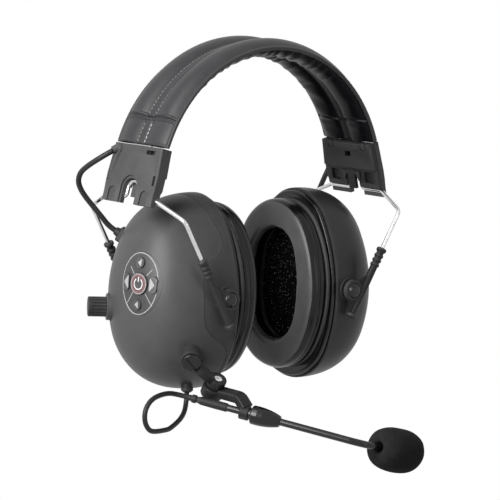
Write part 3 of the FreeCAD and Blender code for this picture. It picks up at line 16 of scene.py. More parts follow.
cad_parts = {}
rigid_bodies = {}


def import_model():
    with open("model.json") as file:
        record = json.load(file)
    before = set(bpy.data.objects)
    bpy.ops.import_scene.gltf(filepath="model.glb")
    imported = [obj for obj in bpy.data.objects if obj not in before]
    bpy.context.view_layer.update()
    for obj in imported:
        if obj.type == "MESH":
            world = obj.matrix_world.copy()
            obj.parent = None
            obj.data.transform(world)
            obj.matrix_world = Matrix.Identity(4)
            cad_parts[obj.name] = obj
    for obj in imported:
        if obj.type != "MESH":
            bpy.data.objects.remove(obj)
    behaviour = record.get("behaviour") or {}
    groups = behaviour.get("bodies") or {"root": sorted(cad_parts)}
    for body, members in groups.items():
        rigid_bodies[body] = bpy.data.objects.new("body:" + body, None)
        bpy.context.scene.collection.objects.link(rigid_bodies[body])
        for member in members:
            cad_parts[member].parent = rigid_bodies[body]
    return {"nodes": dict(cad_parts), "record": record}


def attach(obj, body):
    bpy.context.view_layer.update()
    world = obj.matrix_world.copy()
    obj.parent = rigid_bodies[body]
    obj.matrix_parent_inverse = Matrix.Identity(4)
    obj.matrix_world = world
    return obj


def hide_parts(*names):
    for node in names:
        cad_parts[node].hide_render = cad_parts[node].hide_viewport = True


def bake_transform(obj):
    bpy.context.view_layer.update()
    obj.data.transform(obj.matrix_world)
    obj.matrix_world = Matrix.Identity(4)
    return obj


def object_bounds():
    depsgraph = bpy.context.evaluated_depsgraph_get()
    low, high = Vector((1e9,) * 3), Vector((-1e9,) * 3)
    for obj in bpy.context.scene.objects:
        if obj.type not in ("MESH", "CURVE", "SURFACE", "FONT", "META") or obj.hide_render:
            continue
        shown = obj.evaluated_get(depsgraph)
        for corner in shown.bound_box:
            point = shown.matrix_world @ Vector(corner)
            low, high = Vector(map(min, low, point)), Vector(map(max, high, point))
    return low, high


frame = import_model()
nodes = frame["nodes"]
cad_bounds = [list(corner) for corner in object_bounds()]
print("CAD box in metres", cad_bounds)

# %% [markdown]
# ## Camera
# The photograph was taken from 40 degrees to the left of straight ahead and 7 degrees above the ear cups.
# The camera leans about two degrees, and the lens is long, so the two cups keep nearly the same scale.
# It could be placed by eye. These numbers were solved from round pieces that show as ellipses.

# %% Camera
AZIMUTH = -0.6982318
ELEVATION = 0.1215327
ROLL = 0.0386528
DISTANCE = 1.6055283
SHIFT_RIGHT = 0.0031962
SHIFT_UP = 0.0206314
FOCAL_PIXELS = 2749.9333
PICTURE = 500
SENSOR = 36.0
NEAREST = 0.05
FARTHEST = 20


def camera_axes(azimuth, elevation, roll):
    """Unit vectors to the camera's right, up and back, in the row frame."""
    back = Vector((math.sin(azimuth) * math.cos(elevation), -math.cos(azimuth) * math.cos(elevation),
                   math.sin(elevation)))
    right = Vector((math.cos(azimuth), math.sin(azimuth), 0))
    up = back.cross(right)
    turned_right = right * math.cos(roll) + up * math.sin(roll)
    turned_up = up * math.cos(roll) - right * math.sin(roll)
    return turned_right, turned_up, back


right, up, back = camera_axes(AZIMUTH, ELEVATION, ROLL)
eye = back * DISTANCE + right * SHIFT_RIGHT + up * SHIFT_UP
camera_data = bpy.data.cameras.new("camera")
camera_data.sensor_width = SENSOR
camera_data.lens = FOCAL_PIXELS * SENSOR / PICTURE
camera_data.clip_start = NEAREST
camera_data.clip_end = FARTHEST
camera = bpy.data.objects.new("camera", camera_data)
bpy.context.scene.collection.objects.link(camera)
camera.matrix_world = Matrix(((right.x, up.x, back.x, eye.x), (right.y, up.y, back.y, eye.y),
                              (right.z, up.z, back.z, eye.z), (0, 0, 0, 1)))
bpy.context.scene.camera = camera
print("camera at", [round(x, 4) for x in eye], "lens", round(camera_data.lens, 1), "mm")

# %% [markdown]
# ## Cords
# The cross cable joins the two cups through the headband, and a thinner cable feeds the microphone.
# A cable could be a curve object with a round bevel. Here a spline gives only the line, and a mesh tube
# is swept along it.

# %% Line of a cord
def new_object(name, mesh):
    """A new object for a mesh or curve, linked to the scene."""
    made = bpy.data.objects.new(name, mesh)
    bpy.context.scene.collection.objects.link(made)
    return made


def spline_points(name, corners, resolution=14):
    """Points read from the open NURBS spline that has these corners as its control points."""
    data = bpy.data.curves.new(name + "_line", "CURVE")
    data.dimensions = "3D"
    data.resolution_u = resolution
    line = data.splines.new("NURBS")
    line.points.add(len(corners) - 1)
    for point, corner in zip(line.points, corners):
        point.co = (*corner, 1)
    line.order_u = 3
    line.use_endpoint_u = True
    holder = new_object(name + "_line", data)
    bpy.context.view_layer.update()
    mesh = bpy.data.meshes.new_from_object(holder)
    found = [vertex.co.copy() for vertex in mesh.vertices]
    bpy.data.objects.remove(holder)
    bpy.data.meshes.remove(mesh)
    return found


# %% Tube along a line
def along_frames(points):
    """Two side vectors at each point, carried along without twist."""
    frames = []
    side = None
    for index, point in enumerate(points):
        before = points[max(index - 1, 0)]
        after = points[min(index + 1, len(points) - 1)]
        way = (after - before).normalized()
        if side is None:
            side = way.orthogonal().normalized()
        side = (side - way * side.dot(way)).normalized()
        frames.append((point, side, way.cross(side)))
    return frames


def mesh_of(name, build):
    """The finished mesh of some built points and faces."""
    mesh = bpy.data.meshes.new(name)
    build.to_mesh(mesh)
    build.free()
    return mesh


def join_rows(build, rows, around=True, along=False):
    """Fills between rows of points with four-sided faces."""
    pairs = list(zip(rows, rows[1:]))
    if along:
        pairs.append((rows[-1], rows[0]))
    for first, second in pairs:
        for step in range(len(first) if around else len(first) - 1):
            after = (step + 1) % len(first)
            build.faces.new((first[step], first[after], second[after], second[step]))


def swept_mesh(name, rings, closed_along=False):
    """A mesh from closed rings of points, capped at both ends unless the last ring meets the first."""
    build = bmesh.new()
    rows = [[build.verts.new(point) for point in ring] for ring in rings]
    join_rows(build, rows, along=closed_along)
    if not closed_along:
        build.faces.new(list(reversed(rows[0])))
        build.faces.new(rows[-1])
    bmesh.ops.recalc_face_normals(build, faces=build.faces)
    mesh = mesh_of(name, build)
    for face in mesh.polygons:
        face.use_smooth = len(face.vertices) == 4
    return mesh


def tube_mesh(name, points, radius, around=16):
    """A closed tube of one radius along these points."""
    turns = [2 * math.pi * step / around for step in range(around)]
    rings = [[point + (side * math.cos(turn) + other * math.sin(turn)) * radius for turn in turns]
             for point, side, other in along_frames(points)]
    return swept_mesh(name, rings)


# %% [markdown]
# ### Cord routes
# Each route lists corner points in metres. They are the control points of a smooth NURBS line.
# One long piece could hang on one body only, and would tear away from the others when a cup slides.
# So a cable that crosses several joints is made in pieces, each reaching from one body to the next.

# %% Cord routes
CROSS = [(-0.0852, 0.0186, 0.0795), (-0.0901, 0.0213, 0.0763), (-0.0948, 0.0326, 0.0684),
         (-0.0952, 0.0368, 0.0638), (-0.0939, 0.0388, 0.0584), (-0.0916, 0.0384, 0.0547)]
CROSS_LOW = [(-0.0916, 0.0384, 0.0547), (-0.0900, 0.0381, 0.0522), (-0.0848, 0.0364, 0.0459),
             (-0.0799, 0.0345, 0.0399), (-0.0754, 0.0330, 0.0343), (-0.0729, 0.0304, 0.0322)]
CROSS_RIGHT = [(-x, y, z) for x, y, z in CROSS]
CROSS_LOW_RIGHT = [(0.0916, 0.0384, 0.0547), (0.0900, 0.0381, 0.0522), (0.0848, 0.0364, 0.0459),
                   (0.0786, 0.0340, 0.0396), (0.0720, 0.0320, 0.0343), (0.0695, 0.0294, 0.0322)]
MIC_SOCKET = [(-0.0530, -0.0158, -0.0565), (-0.0536, -0.0165, -0.0635), (-0.0618, -0.0236, -0.0690),
              (-0.0742, -0.0283, -0.0736), (-0.0766, -0.0289, -0.07365)]
MIC_BRACKET = [(-0.0766, -0.0289, -0.07365), (-0.0892, -0.0321, -0.0739), (-0.0946, -0.0331, -0.0702),
               (-0.0969, -0.0335, -0.0646), (-0.0956, -0.0332, -0.0586), (-0.0929, -0.03275, -0.05625)]
MIC_ARM = [(-0.0929, -0.03275, -0.05625), (-0.0902, -0.0323, -0.0539), (-0.0784, -0.0300, -0.0524),
           (-0.0699, -0.0292, -0.0542), (-0.0662, -0.0345, -0.0553)]
# Node, route, length and diameter in metres, and the two bodies that the piece joins
CORDS = [
    ("cross_cable_left_upper", CROSS, 0.0372, 0.0032, "headband", "sliders_left"),
    ("cross_cable_left_lower", CROSS_LOW, 0.0307, 0.0032, "sliders_left", "cup_left"),
    ("cross_cable_right_upper", CROSS_RIGHT, 0.0372, 0.0032, "headband", "sliders_right"),
    ("cross_cable_right_lower", CROSS_LOW_RIGHT, 0.0332, 0.0032, "sliders_right", "cup_right"),
    ("mic_cable_socket", MIC_SOCKET, 0.0351, 0.0029, "cup_left", "boom_bracket"),
    ("mic_cable_bracket", MIC_BRACKET, 0.0348, 0.0029, "boom_bracket", "boom_arm"),
    ("mic_cable_arm", MIC_ARM, 0.0303, 0.0029, "boom_arm", "boom"),
]
cords = {}
for name, route, length, diameter, first, second in CORDS:
    path = spline_points(name, route)
    drawn = sum((b - a).length for a, b in zip(path, path[1:]))
    piece = new_object("cord_" + name, tube_mesh(name, path, diameter / 2))
    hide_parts(name)
    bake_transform(piece)
    cords[name] = piece
    print(name, "length %.1f mm, drawn %.1f mm" % (length * 1000, drawn * 1000))

# %% [markdown]
# ## Shared effects
# The headset is moulded plastic, leatherette, rubber, foam and steel, nearly all of it black.
# Grain, handling marks and worn edges could be built anew in every material, or painted in an image.
# Node groups were chosen. They give out only masks and normals, which each material mixes on its shader.

# %% Node helpers
def add_node(tree, kind, inputs=None, **settings):
    """A node with some settings and unlinked input values."""
    node = tree.nodes.new(kind)
    for key, value in settings.items():
        setattr(node, key, value)
    for key, value in (inputs or {}).items():
        node.inputs[key].default_value = value
    return node


def new_group(name, inputs, outputs):
    """A node group with named value inputs and named outputs, and its two end nodes."""
    tree = bpy.data.node_groups.new(name, "ShaderNodeTree")
    for title, default in inputs:
        socket = tree.interface.new_socket(title, in_out="INPUT", socket_type="NodeSocketFloat")
        socket.default_value = default
    for title, kind in outputs:
        tree.interface.new_socket(title, in_out="OUTPUT", socket_type=kind)
    return tree, tree.nodes.new("NodeGroupInput"), tree.nodes.new("NodeGroupOutput")


def ramp(tree, source, stops):
    """A colour ramp from a value to a grey mask, from (position, grey) stops."""
    node = tree.nodes.new("ShaderNodeValToRGB")
    band = node.color_ramp
    while len(band.elements) < len(stops):
        band.elements.new(0.5)
    for element, (position, grey) in zip(band.elements, stops):
        element.position = position
        element.color = (grey, grey, grey, 1)
    tree.links.new(source, node.inputs[0])
    return node.outputs[0]


# %% [markdown]
# ### Grain, leather and foam
# Moulded plastic has a fine even grain, leatherette has cells with soft creases, and foam has open pores.
# They could be real geometry, but they are smaller than a pixel here, so a bump from a pattern is enough.

# %% Grain groups
def bump_group(name, build_height):
    """A group from a grain size and a depth to a normal and its height mask."""
    tree, entry, leave = new_group(name, [("Scale", 1000.0), ("Strength", 0.3), ("Distance", 0.0001)],
                                   [("Normal", "NodeSocketVector"), ("Height", "NodeSocketFloat")])
    place = tree.nodes.new("ShaderNodeTexCoord")
    height = build_height(tree, place.outputs["Object"], entry.outputs["Scale"])
    bump = tree.nodes.new("ShaderNodeBump")
    tree.links.new(entry.outputs["Strength"], bump.inputs["Strength"])
    tree.links.new(entry.outputs["Distance"], bump.inputs["Distance"])
    tree.links.new(height, bump.inputs["Height"])
    tree.links.new(bump.outputs[0], leave.inputs["Normal"])
    tree.links.new(height, leave.inputs["Height"])
    return tree


def grain_height(tree, place, scale):
    """Fine even grain of moulded plastic."""
    noise = add_node(tree, "ShaderNodeTexNoise", {"Detail": 3.0, "Roughness": 0.6})
    tree.links.new(place, noise.inputs["Vector"])
    tree.links.new(scale, noise.inputs["Scale"])
    return noise.outputs["Fac"]


def leather_height(tree, place, scale):
    """Leather cells with soft creases between them."""
    cells = add_node(tree, "ShaderNodeTexVoronoi", feature="DISTANCE_TO_EDGE")
    tree.links.new(place, cells.inputs["Vector"])
    tree.links.new(scale, cells.inputs["Scale"])
    return ramp(tree, cells.outputs["Distance"], [(0.0, 0.0), (0.12, 0.7), (0.5, 1.0)])


def foam_height(tree, place, scale):
    """Open cells of acoustic foam."""
    cells = add_node(tree, "ShaderNodeTexVoronoi", feature="F1")
    tree.links.new(place, cells.inputs["Vector"])
    tree.links.new(scale, cells.inputs["Scale"])
    return ramp(tree, cells.outputs["Distance"], [(0.1, 0.0), (0.55, 1.0)])


GRAIN = bump_group("moulded_grain", grain_height)
LEATHER = bump_group("leather_grain", leather_height)
FOAM = bump_group("foam_cells", foam_height)
print("grain groups", [group.name for group in (GRAIN, LEATHER, FOAM)])

# %% [markdown]
# ### Handling, worn edges and specks
# Hands leave soft patches that shine a little more, edges polish with use, and foam shows pale specks.
# Each could be a painted mask. The pointiness of the mesh finds the edges, and noise places the rest,
# because neither needs a texture map.

# %% Mask groups
MASK_OUT = [("Mask", "NodeSocketFloat")]


def mask_group(name, detail, stops):
    """A group that gives a mask of soft patches at a given scale."""
    tree, entry, leave = new_group(name, [("Scale", 60.0)], MASK_OUT)
    place = tree.nodes.new("ShaderNodeTexCoord")
    noise = add_node(tree, "ShaderNodeTexNoise", {"Detail": detail, "Roughness": 0.55})
    tree.links.new(place.outputs["Object"], noise.inputs["Vector"])
    tree.links.new(entry.outputs["Scale"], noise.inputs["Scale"])
    tree.links.new(ramp(tree, noise.outputs["Fac"], stops), leave.inputs["Mask"])
    return tree


PATCHES = mask_group("handling_patches", 4.0, [(0.3, 0.0), (0.7, 1.0)])


def edge_group():
    """A mask that is bright on worn outer edges."""
    tree, entry, leave = new_group("edge_wear", [("Low", 0.52), ("High", 0.62)], MASK_OUT)
    shape = tree.nodes.new("ShaderNodeNewGeometry")
    span = add_node(tree, "ShaderNodeMapRange", clamp=True)
    tree.links.new(shape.outputs["Pointiness"], span.inputs["Value"])
    tree.links.new(entry.outputs["Low"], span.inputs["From Min"])
    tree.links.new(entry.outputs["High"], span.inputs["From Max"])
    tree.links.new(span.outputs["Result"], leave.inputs["Mask"])
    return tree


EDGES = edge_group()


def speckle_group():
    """Sparse bright specks."""
    tree, entry, leave = new_group("specks", [("Scale", 900.0), ("Size", 0.16)], MASK_OUT)
    place = tree.nodes.new("ShaderNodeTexCoord")
    cells = add_node(tree, "ShaderNodeTexVoronoi", feature="F1")
    tree.links.new(place.outputs["Object"], cells.inputs["Vector"])
    tree.links.new(entry.outputs["Scale"], cells.inputs["Scale"])
    near = add_node(tree, "ShaderNodeMath", operation="LESS_THAN")
    tree.links.new(cells.outputs["Distance"], near.inputs[0])
    tree.links.new(entry.outputs["Size"], near.inputs[1])
    bright = add_node(tree, "ShaderNodeSeparateColor")
    tree.links.new(cells.outputs["Color"], bright.inputs[0])
    both = add_node(tree, "ShaderNodeMath", operation="MULTIPLY")
    tree.links.new(near.outputs[0], both.inputs[0])
    tree.links.new(bright.outputs[0], both.inputs[1])
    tree.links.new(both.outputs[0], leave.inputs["Mask"])
    return tree


SPECKS = speckle_group()
print("mask groups", [group.name for group in (PATCHES, EDGES, SPECKS)])

# %% [markdown]
# ## Finishes
# A black surface that has one tone looks flat, and a real one never has one tone.
# Every finish could be tuned node by node. Here one function builds them all from the same parts:
# two close tones in soft patches, a roughness that follows the patches, a grain, and worn edges or specks.

# %% Finish helpers
def use_group(tree, group, **values):
    """A group node in a tree, with its input values set."""
    node = tree.nodes.new("ShaderNodeGroup")
    node.node_tree = group
    for key, value in values.items():
        node.inputs[key].default_value = value
    return node


def mixed(tree, mask, first, second):
    """The first colour where the mask is dark and the second where it is bright, each a tone or a node."""
    mix = add_node(tree, "ShaderNodeMix", data_type="RGBA")
    for socket, colour in (("A", first), ("B", second)):
        if isinstance(colour, tuple):
            mix.inputs[socket].default_value = (*colour, 1)
        else:
            tree.links.new(colour, mix.inputs[socket])
    tree.links.new(mask, mix.inputs["Factor"])
    return mix.outputs["Result"]


def spread(tree, mask, low, high):
    """A value from low to high, by a mask."""
    span = add_node(tree, "ShaderNodeMapRange", {"To Min": low, "To Max": high})
    tree.links.new(mask, span.inputs["Value"])
    return span.outputs["Result"]


MATERIALS = {}


def finish(name, dark, light, rough, grain, patch_scale, shine=0.5, wear=None, specks=None, metallic=0.0):
    """Adds a material: two close tones in soft patches, a grain, and worn edges or specks."""
    made = bpy.data.materials.new(name)
    made.use_nodes = True
    tree = made.node_tree
    surface = tree.nodes["Principled BSDF"]
    patches = use_group(tree, PATCHES, Scale=patch_scale).outputs["Mask"]
    colour = mixed(tree, patches, dark, light)
    if wear:
        colour = mixed(tree, use_group(tree, EDGES).outputs["Mask"], colour, wear)
    if specks:
        scale, size, tone = specks
        dots = use_group(tree, SPECKS, Scale=scale, Size=size)
        colour = mixed(tree, dots.outputs["Mask"], colour, tone)
    group, scale, strength, depth = grain
    bump = use_group(tree, group, Scale=scale, Strength=strength, Distance=depth)
    tree.links.new(colour, surface.inputs["Base Color"])
    tree.links.new(spread(tree, patches, *rough), surface.inputs["Roughness"])
    tree.links.new(bump.outputs["Normal"], surface.inputs["Normal"])
    surface.inputs["Specular IOR Level"].default_value = shine
    surface.inputs["Metallic"].default_value = metallic
    MATERIALS[name] = made


def grey(value, blue=0.0):
    """A neutral colour, a little bluer where blue is given."""
    return (value, value, value + blue)


# %% [markdown]
# ### The list of finishes
# Each line gives the dark and light tone, the range of roughness, the grain as group, scale, strength and
# depth, the scale of the patches and the shine. The tones could be taken from a chart of plastics. They were
# set by laying the render beside the photograph, where the far side is deeper than the microphone side
# because it lies in shade. Two darker copies of the black finishes paint that shade into the colour.

# %% Materials
SHELL_GRAIN = (GRAIN, 5200.0, 0.2, 0.00004)
PRINT_GRAIN = (GRAIN, 3000.0, 0.1, 0.00002)
THREAD_GRAIN = (GRAIN, 9000.0, 0.4, 0.00005)
finish("leatherette", grey(0.026, 0.002), grey(0.034, 0.002), (0.4, 0.48),
       (LEATHER, 1900.0, 0.2, 0.00005), 90, 0.3)
finish("leatherette_pad", grey(0.003, 0.0012), grey(0.005, 0.0012), (0.3, 0.38),
       (LEATHER, 2200.0, 0.2, 0.00004), 70, 0.09)
finish("cushion_face", grey(0.07, 0.0), grey(0.085, 0.0), (0.38, 0.46),
       (GRAIN, 2600.0, 0.35, 0.00008), 80, 0.35, specks=(2400.0, 0.18, grey(0.16)))
finish("cushion_side", grey(0.004, 0.001), grey(0.006, 0.001), (0.2, 0.28),
       (LEATHER, 2600.0, 0.12, 0.00003), 60, 0.25)
finish("soft_black", grey(0.055, 0.0005), grey(0.066, 0.0005), (0.44, 0.54),
       (GRAIN, 5200.0, 0.22, 0.00004), 120, 0.18, wear=grey(0.085))
finish("shell_black", grey(0.058, 0.001), grey(0.068, 0.001), (0.4, 0.46),
       SHELL_GRAIN, 90, 0.26, wear=grey(0.07))
# A darker copy of the soft black finish, with the shade of pieces under the cup, at the rear and on the far
# side painted into its colour.
finish("black_painted_shade", grey(0.016, 0.0005), grey(0.022, 0.0005), (0.36, 0.46),
       SHELL_GRAIN, 140, 0.14, wear=grey(0.05))
# A darker copy of the shell finish, with the shade on the far cup painted into its colour.
finish("shell_black_painted_shade", grey(0.028, 0.001), grey(0.034, 0.001), (0.38, 0.44),
       SHELL_GRAIN, 90, 0.2, wear=grey(0.05))
finish("gloss_black", grey(0.005, 0.001), grey(0.007, 0.001), (0.12, 0.2),
       (GRAIN, 1800.0, 0.01, 0.00001), 50, 0.35, wear=grey(0.02))
finish("steel_wire", grey(0.55), grey(0.66), (0.12, 0.2), (GRAIN, 900.0, 0.02, 0.00001), 400, metallic=1.0)
finish("steel_screw", grey(0.6), grey(0.75), (0.12, 0.2),
       (GRAIN, 2400.0, 0.1, 0.00002), 500, wear=grey(0.85), metallic=1.0)
finish("rubber_black", grey(0.018, 0.0005), grey(0.025, 0.0005), (0.42, 0.52),
       (GRAIN, 4200.0, 0.25, 0.00004), 150, 0.16, wear=grey(0.06))
finish("cable_black", grey(0.018, 0.0005), grey(0.024, 0.0005), (0.32, 0.42),
       (GRAIN, 2600.0, 0.15, 0.00003), 120, 0.2)
finish("foam", grey(0.015, 0.001), grey(0.022, 0.001), (0.9, 0.98),
       (FOAM, 2300.0, 0.9, 0.00025), 160, 0.1, specks=(2100.0, 0.2, grey(0.12)))
finish("speckled_foam", grey(0.004, 0.001), grey(0.007, 0.001), (0.8, 0.9),
       (FOAM, 1500.0, 0.8, 0.0002), 120, 0.08, specks=(800.0, 0.2, grey(0.8)))
finish("button_black", grey(0.05, 0.0005), grey(0.06, 0.0005), (0.38, 0.48),
       (GRAIN, 3600.0, 0.15, 0.00003), 150, 0.4, wear=grey(0.09))
finish("keypad", grey(0.045, 0.0005), grey(0.054, 0.0005), (0.4, 0.48),
       (GRAIN, 4200.0, 0.15, 0.00003), 150, 0.35)
finish("board_green", (0.01, 0.07, 0.03), (0.015, 0.1, 0.045), (0.25, 0.35),
       (GRAIN, 1500.0, 0.1, 0.00003), 300, 0.5)
finish("cell_grey", grey(0.2), grey(0.24), (0.3, 0.4), (GRAIN, 2000.0, 0.1, 0.00003), 200, 0.5)
finish("print_grey", grey(0.34), grey(0.4), (0.5, 0.6), PRINT_GRAIN, 500, 0.3)
finish("print_white", grey(0.62), grey(0.7), (0.45, 0.55), PRINT_GRAIN, 500, 0.3)
finish("print_red", (0.38, 0.09, 0.09), (0.45, 0.12, 0.12), (0.4, 0.5), PRINT_GRAIN, 500, 0.3)
finish("thread_dark", grey(0.16), grey(0.22), (0.4, 0.5), THREAD_GRAIN, 900, 0.5)
finish("thread_light", grey(0.4), grey(0.5), (0.5, 0.6), THREAD_GRAIN, 900, 0.5)
print(len(MATERIALS), "materials")

# %% [markdown]
# ### Materials on the CAD pieces
# Every rigid piece keeps its CAD mesh, so it only needs a finish. The record names a slot for each piece.
# The slots could be used alone, but the photograph shows a few pieces darker where they lie in shade, so they
# get darker copies of their finish, with that shade painted into the colour.

# %% Materials on the CAD pieces
SLOT_OF = {entry["node"]: entry["material_slot"] for entry in frame["record"]["subparts"]}
# The keypad plate has a finish of its own. The far shell and the left front slider take the shell finish with
# painted shade.
OWN = {"keypad_plate": "keypad", "shell_right": "shell_black_painted_shade", "slider_left_front": "shell_black_painted_shade"}
# These pieces lie in shade under the cup, at the rear and on the far side, and take a black finish with that
# shade painted into its colour.
for name in ("boom_arm", "boom_bracket", "block_inner_right", "slider_right_front", "slider_right_rear",
             "slider_left_rear"):
    OWN[name] = "black_painted_shade"
for name, item in nodes.items():
    item.data.materials.clear()
    item.data.materials.append(MATERIALS[OWN.get(name, SLOT_OF[name])])
for piece in cords.values():
    piece.data.materials.append(MATERIALS["cable_black"])
print(len(nodes), "CAD pieces dressed")

# %% [markdown]
# ## Soft pieces
# The headband, its lining, the cushions and the foam are sewn or moulded soft, and swell between their seams.
# They could be draped with cloth simulation or sculpted. Each is instead a closed grid of points, swept along
# the form of its CAD solid, because then every seam and pucker lies where the photograph shows it.

# %% Soft piece helper
def soft_piece(name, mesh, node, material):
    """A soft object that stands for a CAD node and rides on its body."""
    mesh.materials.append(MATERIALS[material])
    piece = new_object(name, mesh)
    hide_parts(node)
    body = [title for title, members in frame["record"]["behaviour"]["bodies"].items() if node in members][0]
    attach(piece, body)
    return piece


# %% Smooth steps
def step_up(low, high, value):
    """0 below low, 1 above high, and smooth between."""
    share = min(1.0, max(0.0, (value - low) / (high - low)))
    return share * share * (3 - 2 * share)


def hump(centre, half_width, value):
    """1 at the centre, falling smoothly to 0 at half_width away."""
    return 1 - step_up(0, half_width, abs(value - centre))


# %% [markdown]
# ## Headband
# The band is two padded lobes sewn beside a raised middle strip, with a pleat and an end tab at each end
# and piping along both edges. It could be a flat strip, bent with a modifier. Here each cross-section is
# worked out at its own angle round the head, because lobes, pleats and puckers all change along the band.

# %% Places on the band
BAND_CENTRE = 0.0572  # height of the band's centre of curvature, in metres
BAND_END = 71.0  # half the sweep of the band, in degrees
PLEAT = 60.0  # the pleat's place, in degrees from the crown
SEAM_RADIUS = 83  # where the outer skin is sewn down, in mm
COVER_HALF = 21.3  # half the width of the skin between the pipings, in mm
STRIP_HALF = 3.0  # half the width of the middle strip, in mm


def band_point(angle, radius, y):
    """A point on the band from an angle in degrees, a radius in mm and a width in mm."""
    turn = math.radians(angle)
    return Vector((math.sin(turn) * radius / 1000, y / 1000, BAND_CENTRE + math.cos(turn) * radius / 1000))


def band_angles():
    """Angles along the band, closer together at the pleats and end tabs."""
    fine_from, fine, coarse = 57.5, 0.25, 0.75
    ends = np.arange(fine_from, BAND_END + 0.01, fine)
    middle = np.arange(-fine_from, fine_from + 0.01, coarse)
    return [float(a) for a in np.concatenate([-ends[::-1], middle[1:-1], ends])]


# %% Headband skin
def cover_height(angle, y):
    """Height of the outer skin over the seam radius, in mm."""
    side = abs(y)
    away = abs(angle)
    edge_height = 1.15
    crown = 4.75 - 1.75 * step_up(PLEAT - 0.6, PLEAT + 1.0, away)
    crown -= 0.35 * hump(PLEAT, 6.0, away)
    if side < STRIP_HALF:
        height = 1.95 - 0.75 * (side / STRIP_HALF) ** 6
    else:
        share = (side - STRIP_HALF) / (COVER_HALF - STRIP_HALF)
        fullness = 1 - abs(2 * min(share, 1.0) - 1) ** 2.5
        height = edge_height + (crown - edge_height) * fullness - 0.75 * max(0.0, share - 0.5) * 2
    # Slight ripples beside the seams, and creases that run into the pleat
    ripple = math.sin(angle * 4.9 + 0.9 * math.sin(angle * 0.83)) * hump(4.2, 3.4, side) * 0.05
    pull = math.sin(y * 1.9 + 1.3 * math.sin(y * 0.7)) * 0.16 * hump(PLEAT, 3.2, away)
    height += ripple + pull
    # Two ridges with the pleat's groove between them, and the bead that ends the tab
    height += 0.75 * hump(PLEAT - 0.8, 0.75, away) + 1.15 * hump(PLEAT + 0.75, 0.75, away)
    height -= 1.0 * hump(PLEAT, 0.4, away)
    height += 0.55 * hump(BAND_END - 0.65, 0.7, away)
    return height


# Round the piping, from its top outwards to its underside
PIPING_TURNS = [math.radians(118 - 24 * step) for step in range(12)]


def cover_ring(angle):
    """One closed cross-section of the outer cover, with a piping bead on each edge."""
    piping_radius, piping_y, underside = 82.62, 22.15, 81.9
    ring = []
    for y in np.linspace(-COVER_HALF, COVER_HALF, 79):
        ring.append(band_point(angle, SEAM_RADIUS + cover_height(angle, float(y)), float(y)))
    bead = 1.18 + 0.05 * math.sin(angle * 5.3)
    if abs(angle) > BAND_END - 0.6:
        bead *= 0.86
    piping = [(piping_radius + bead * math.sin(turn), piping_y + bead * math.cos(turn))
              for turn in PIPING_TURNS]
    ring += [band_point(angle, radius, y) for radius, y in piping]
    ring += [band_point(angle, underside, y) for y in (20.8, 0.0, -20.8)]
    ring += [band_point(angle, radius, -y) for radius, y in reversed(piping)]
    return ring


cover = soft_piece("headband_skin", swept_mesh("headband_skin", [cover_ring(a) for a in band_angles()]),
                   "headband_cover", "leatherette")
print("headband skin", len(cover.data.vertices), "points")

# %% [markdown]
# ### Stitches
# Two rows of stitches hold the middle strip, pale in front at the end tabs and dark elsewhere.
# A texture could show them, but real threads rise out of the skin and catch the light, so each is a mesh.

# %% Stitches
# Share of the stitch's length, and height over the skin as a share of the thread's radius
THREAD_ARC = ((0.0, -0.5), (0.12, 0.35), (0.5, 0.75), (0.88, 0.35), (1.0, -0.5))
THREAD_SIDES = 6
SEAM_Y = 3.1  # distance of each row from the middle of the band, in mm


def stitch(build, start, end, outward, radius):
    """One short thread that rises out of the skin and goes back in."""
    along = (end - start).normalized()
    side = along.cross(outward).normalized()
    rings = []
    for share, lift in THREAD_ARC:
        centre = start.lerp(end, share) + outward * radius * lift
        rings.append([build.verts.new(centre + (side * math.cos(t) + outward * math.sin(t)) * radius)
                      for t in [math.pi * k / 3 for k in range(THREAD_SIDES)]])
    join_rows(build, rings)


def stitch_row(name, y, start, end, material, pitch=1.65, length=1.1, radius=0.3):
    """A row of threads along the band at one width. Pitch and length are in degrees, the radius is in mm."""
    build = bmesh.new()
    angle = start
    count = 0
    while angle + length < end:
        first = band_point(angle, SEAM_RADIUS + cover_height(angle, y), y)
        last = band_point(angle + length, SEAM_RADIUS + cover_height(angle + length, y), y)
        turn = math.radians(angle)
        stitch(build, first, last, Vector((math.sin(turn), 0, math.cos(turn))), radius / 1000)
        angle += pitch
        count += 1
    mesh = mesh_of(name, build)
    for face in mesh.polygons:
        face.use_smooth = True
    mesh.materials.append(MATERIALS[material])
    row = new_object(name, mesh)
    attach(row, "headband")
    return count


threads = 0
for y, side_name in ((-SEAM_Y, "front"), (SEAM_Y, "rear")):
    threads += stitch_row("stitches_%s_main" % side_name, y, -PLEAT + 1.6, PLEAT - 1.6, "thread_dark")
    tab_thread = "thread_light" if side_name == "front" else "thread_dark"
    for start, end, end_name in ((-BAND_END + 0.8, -PLEAT - 1.2, "left"),
                                 (PLEAT + 1.2, BAND_END - 0.8, "right")):
        threads += stitch_row("stitches_%s_%s" % (side_name, end_name), y, start, end, tab_thread)
print(threads, "stitches")

# %% [markdown]
# ## Inner pad
# The lining rests on the head. Its leatherette is gathered on the inside of the curve, so it falls in deep
# slanting puckers at the crown and lies smoother towards the ends. Cloth simulation could gather it, but
# would place the puckers by chance. Sums of waves along the band place them as the photograph shows them.

# %% Inner pad
PAD_RADIUS = 81.9  # the face that is sewn to the band, in mm
PAD_HALF = 21.5  # half the width of the pad, in mm
GROOVE_HALF = 2.6  # half the width of the groove between its lobes, in mm


def wave_of(degrees):
    """A sine wave of an angle in degrees."""
    return math.sin(math.radians(degrees))


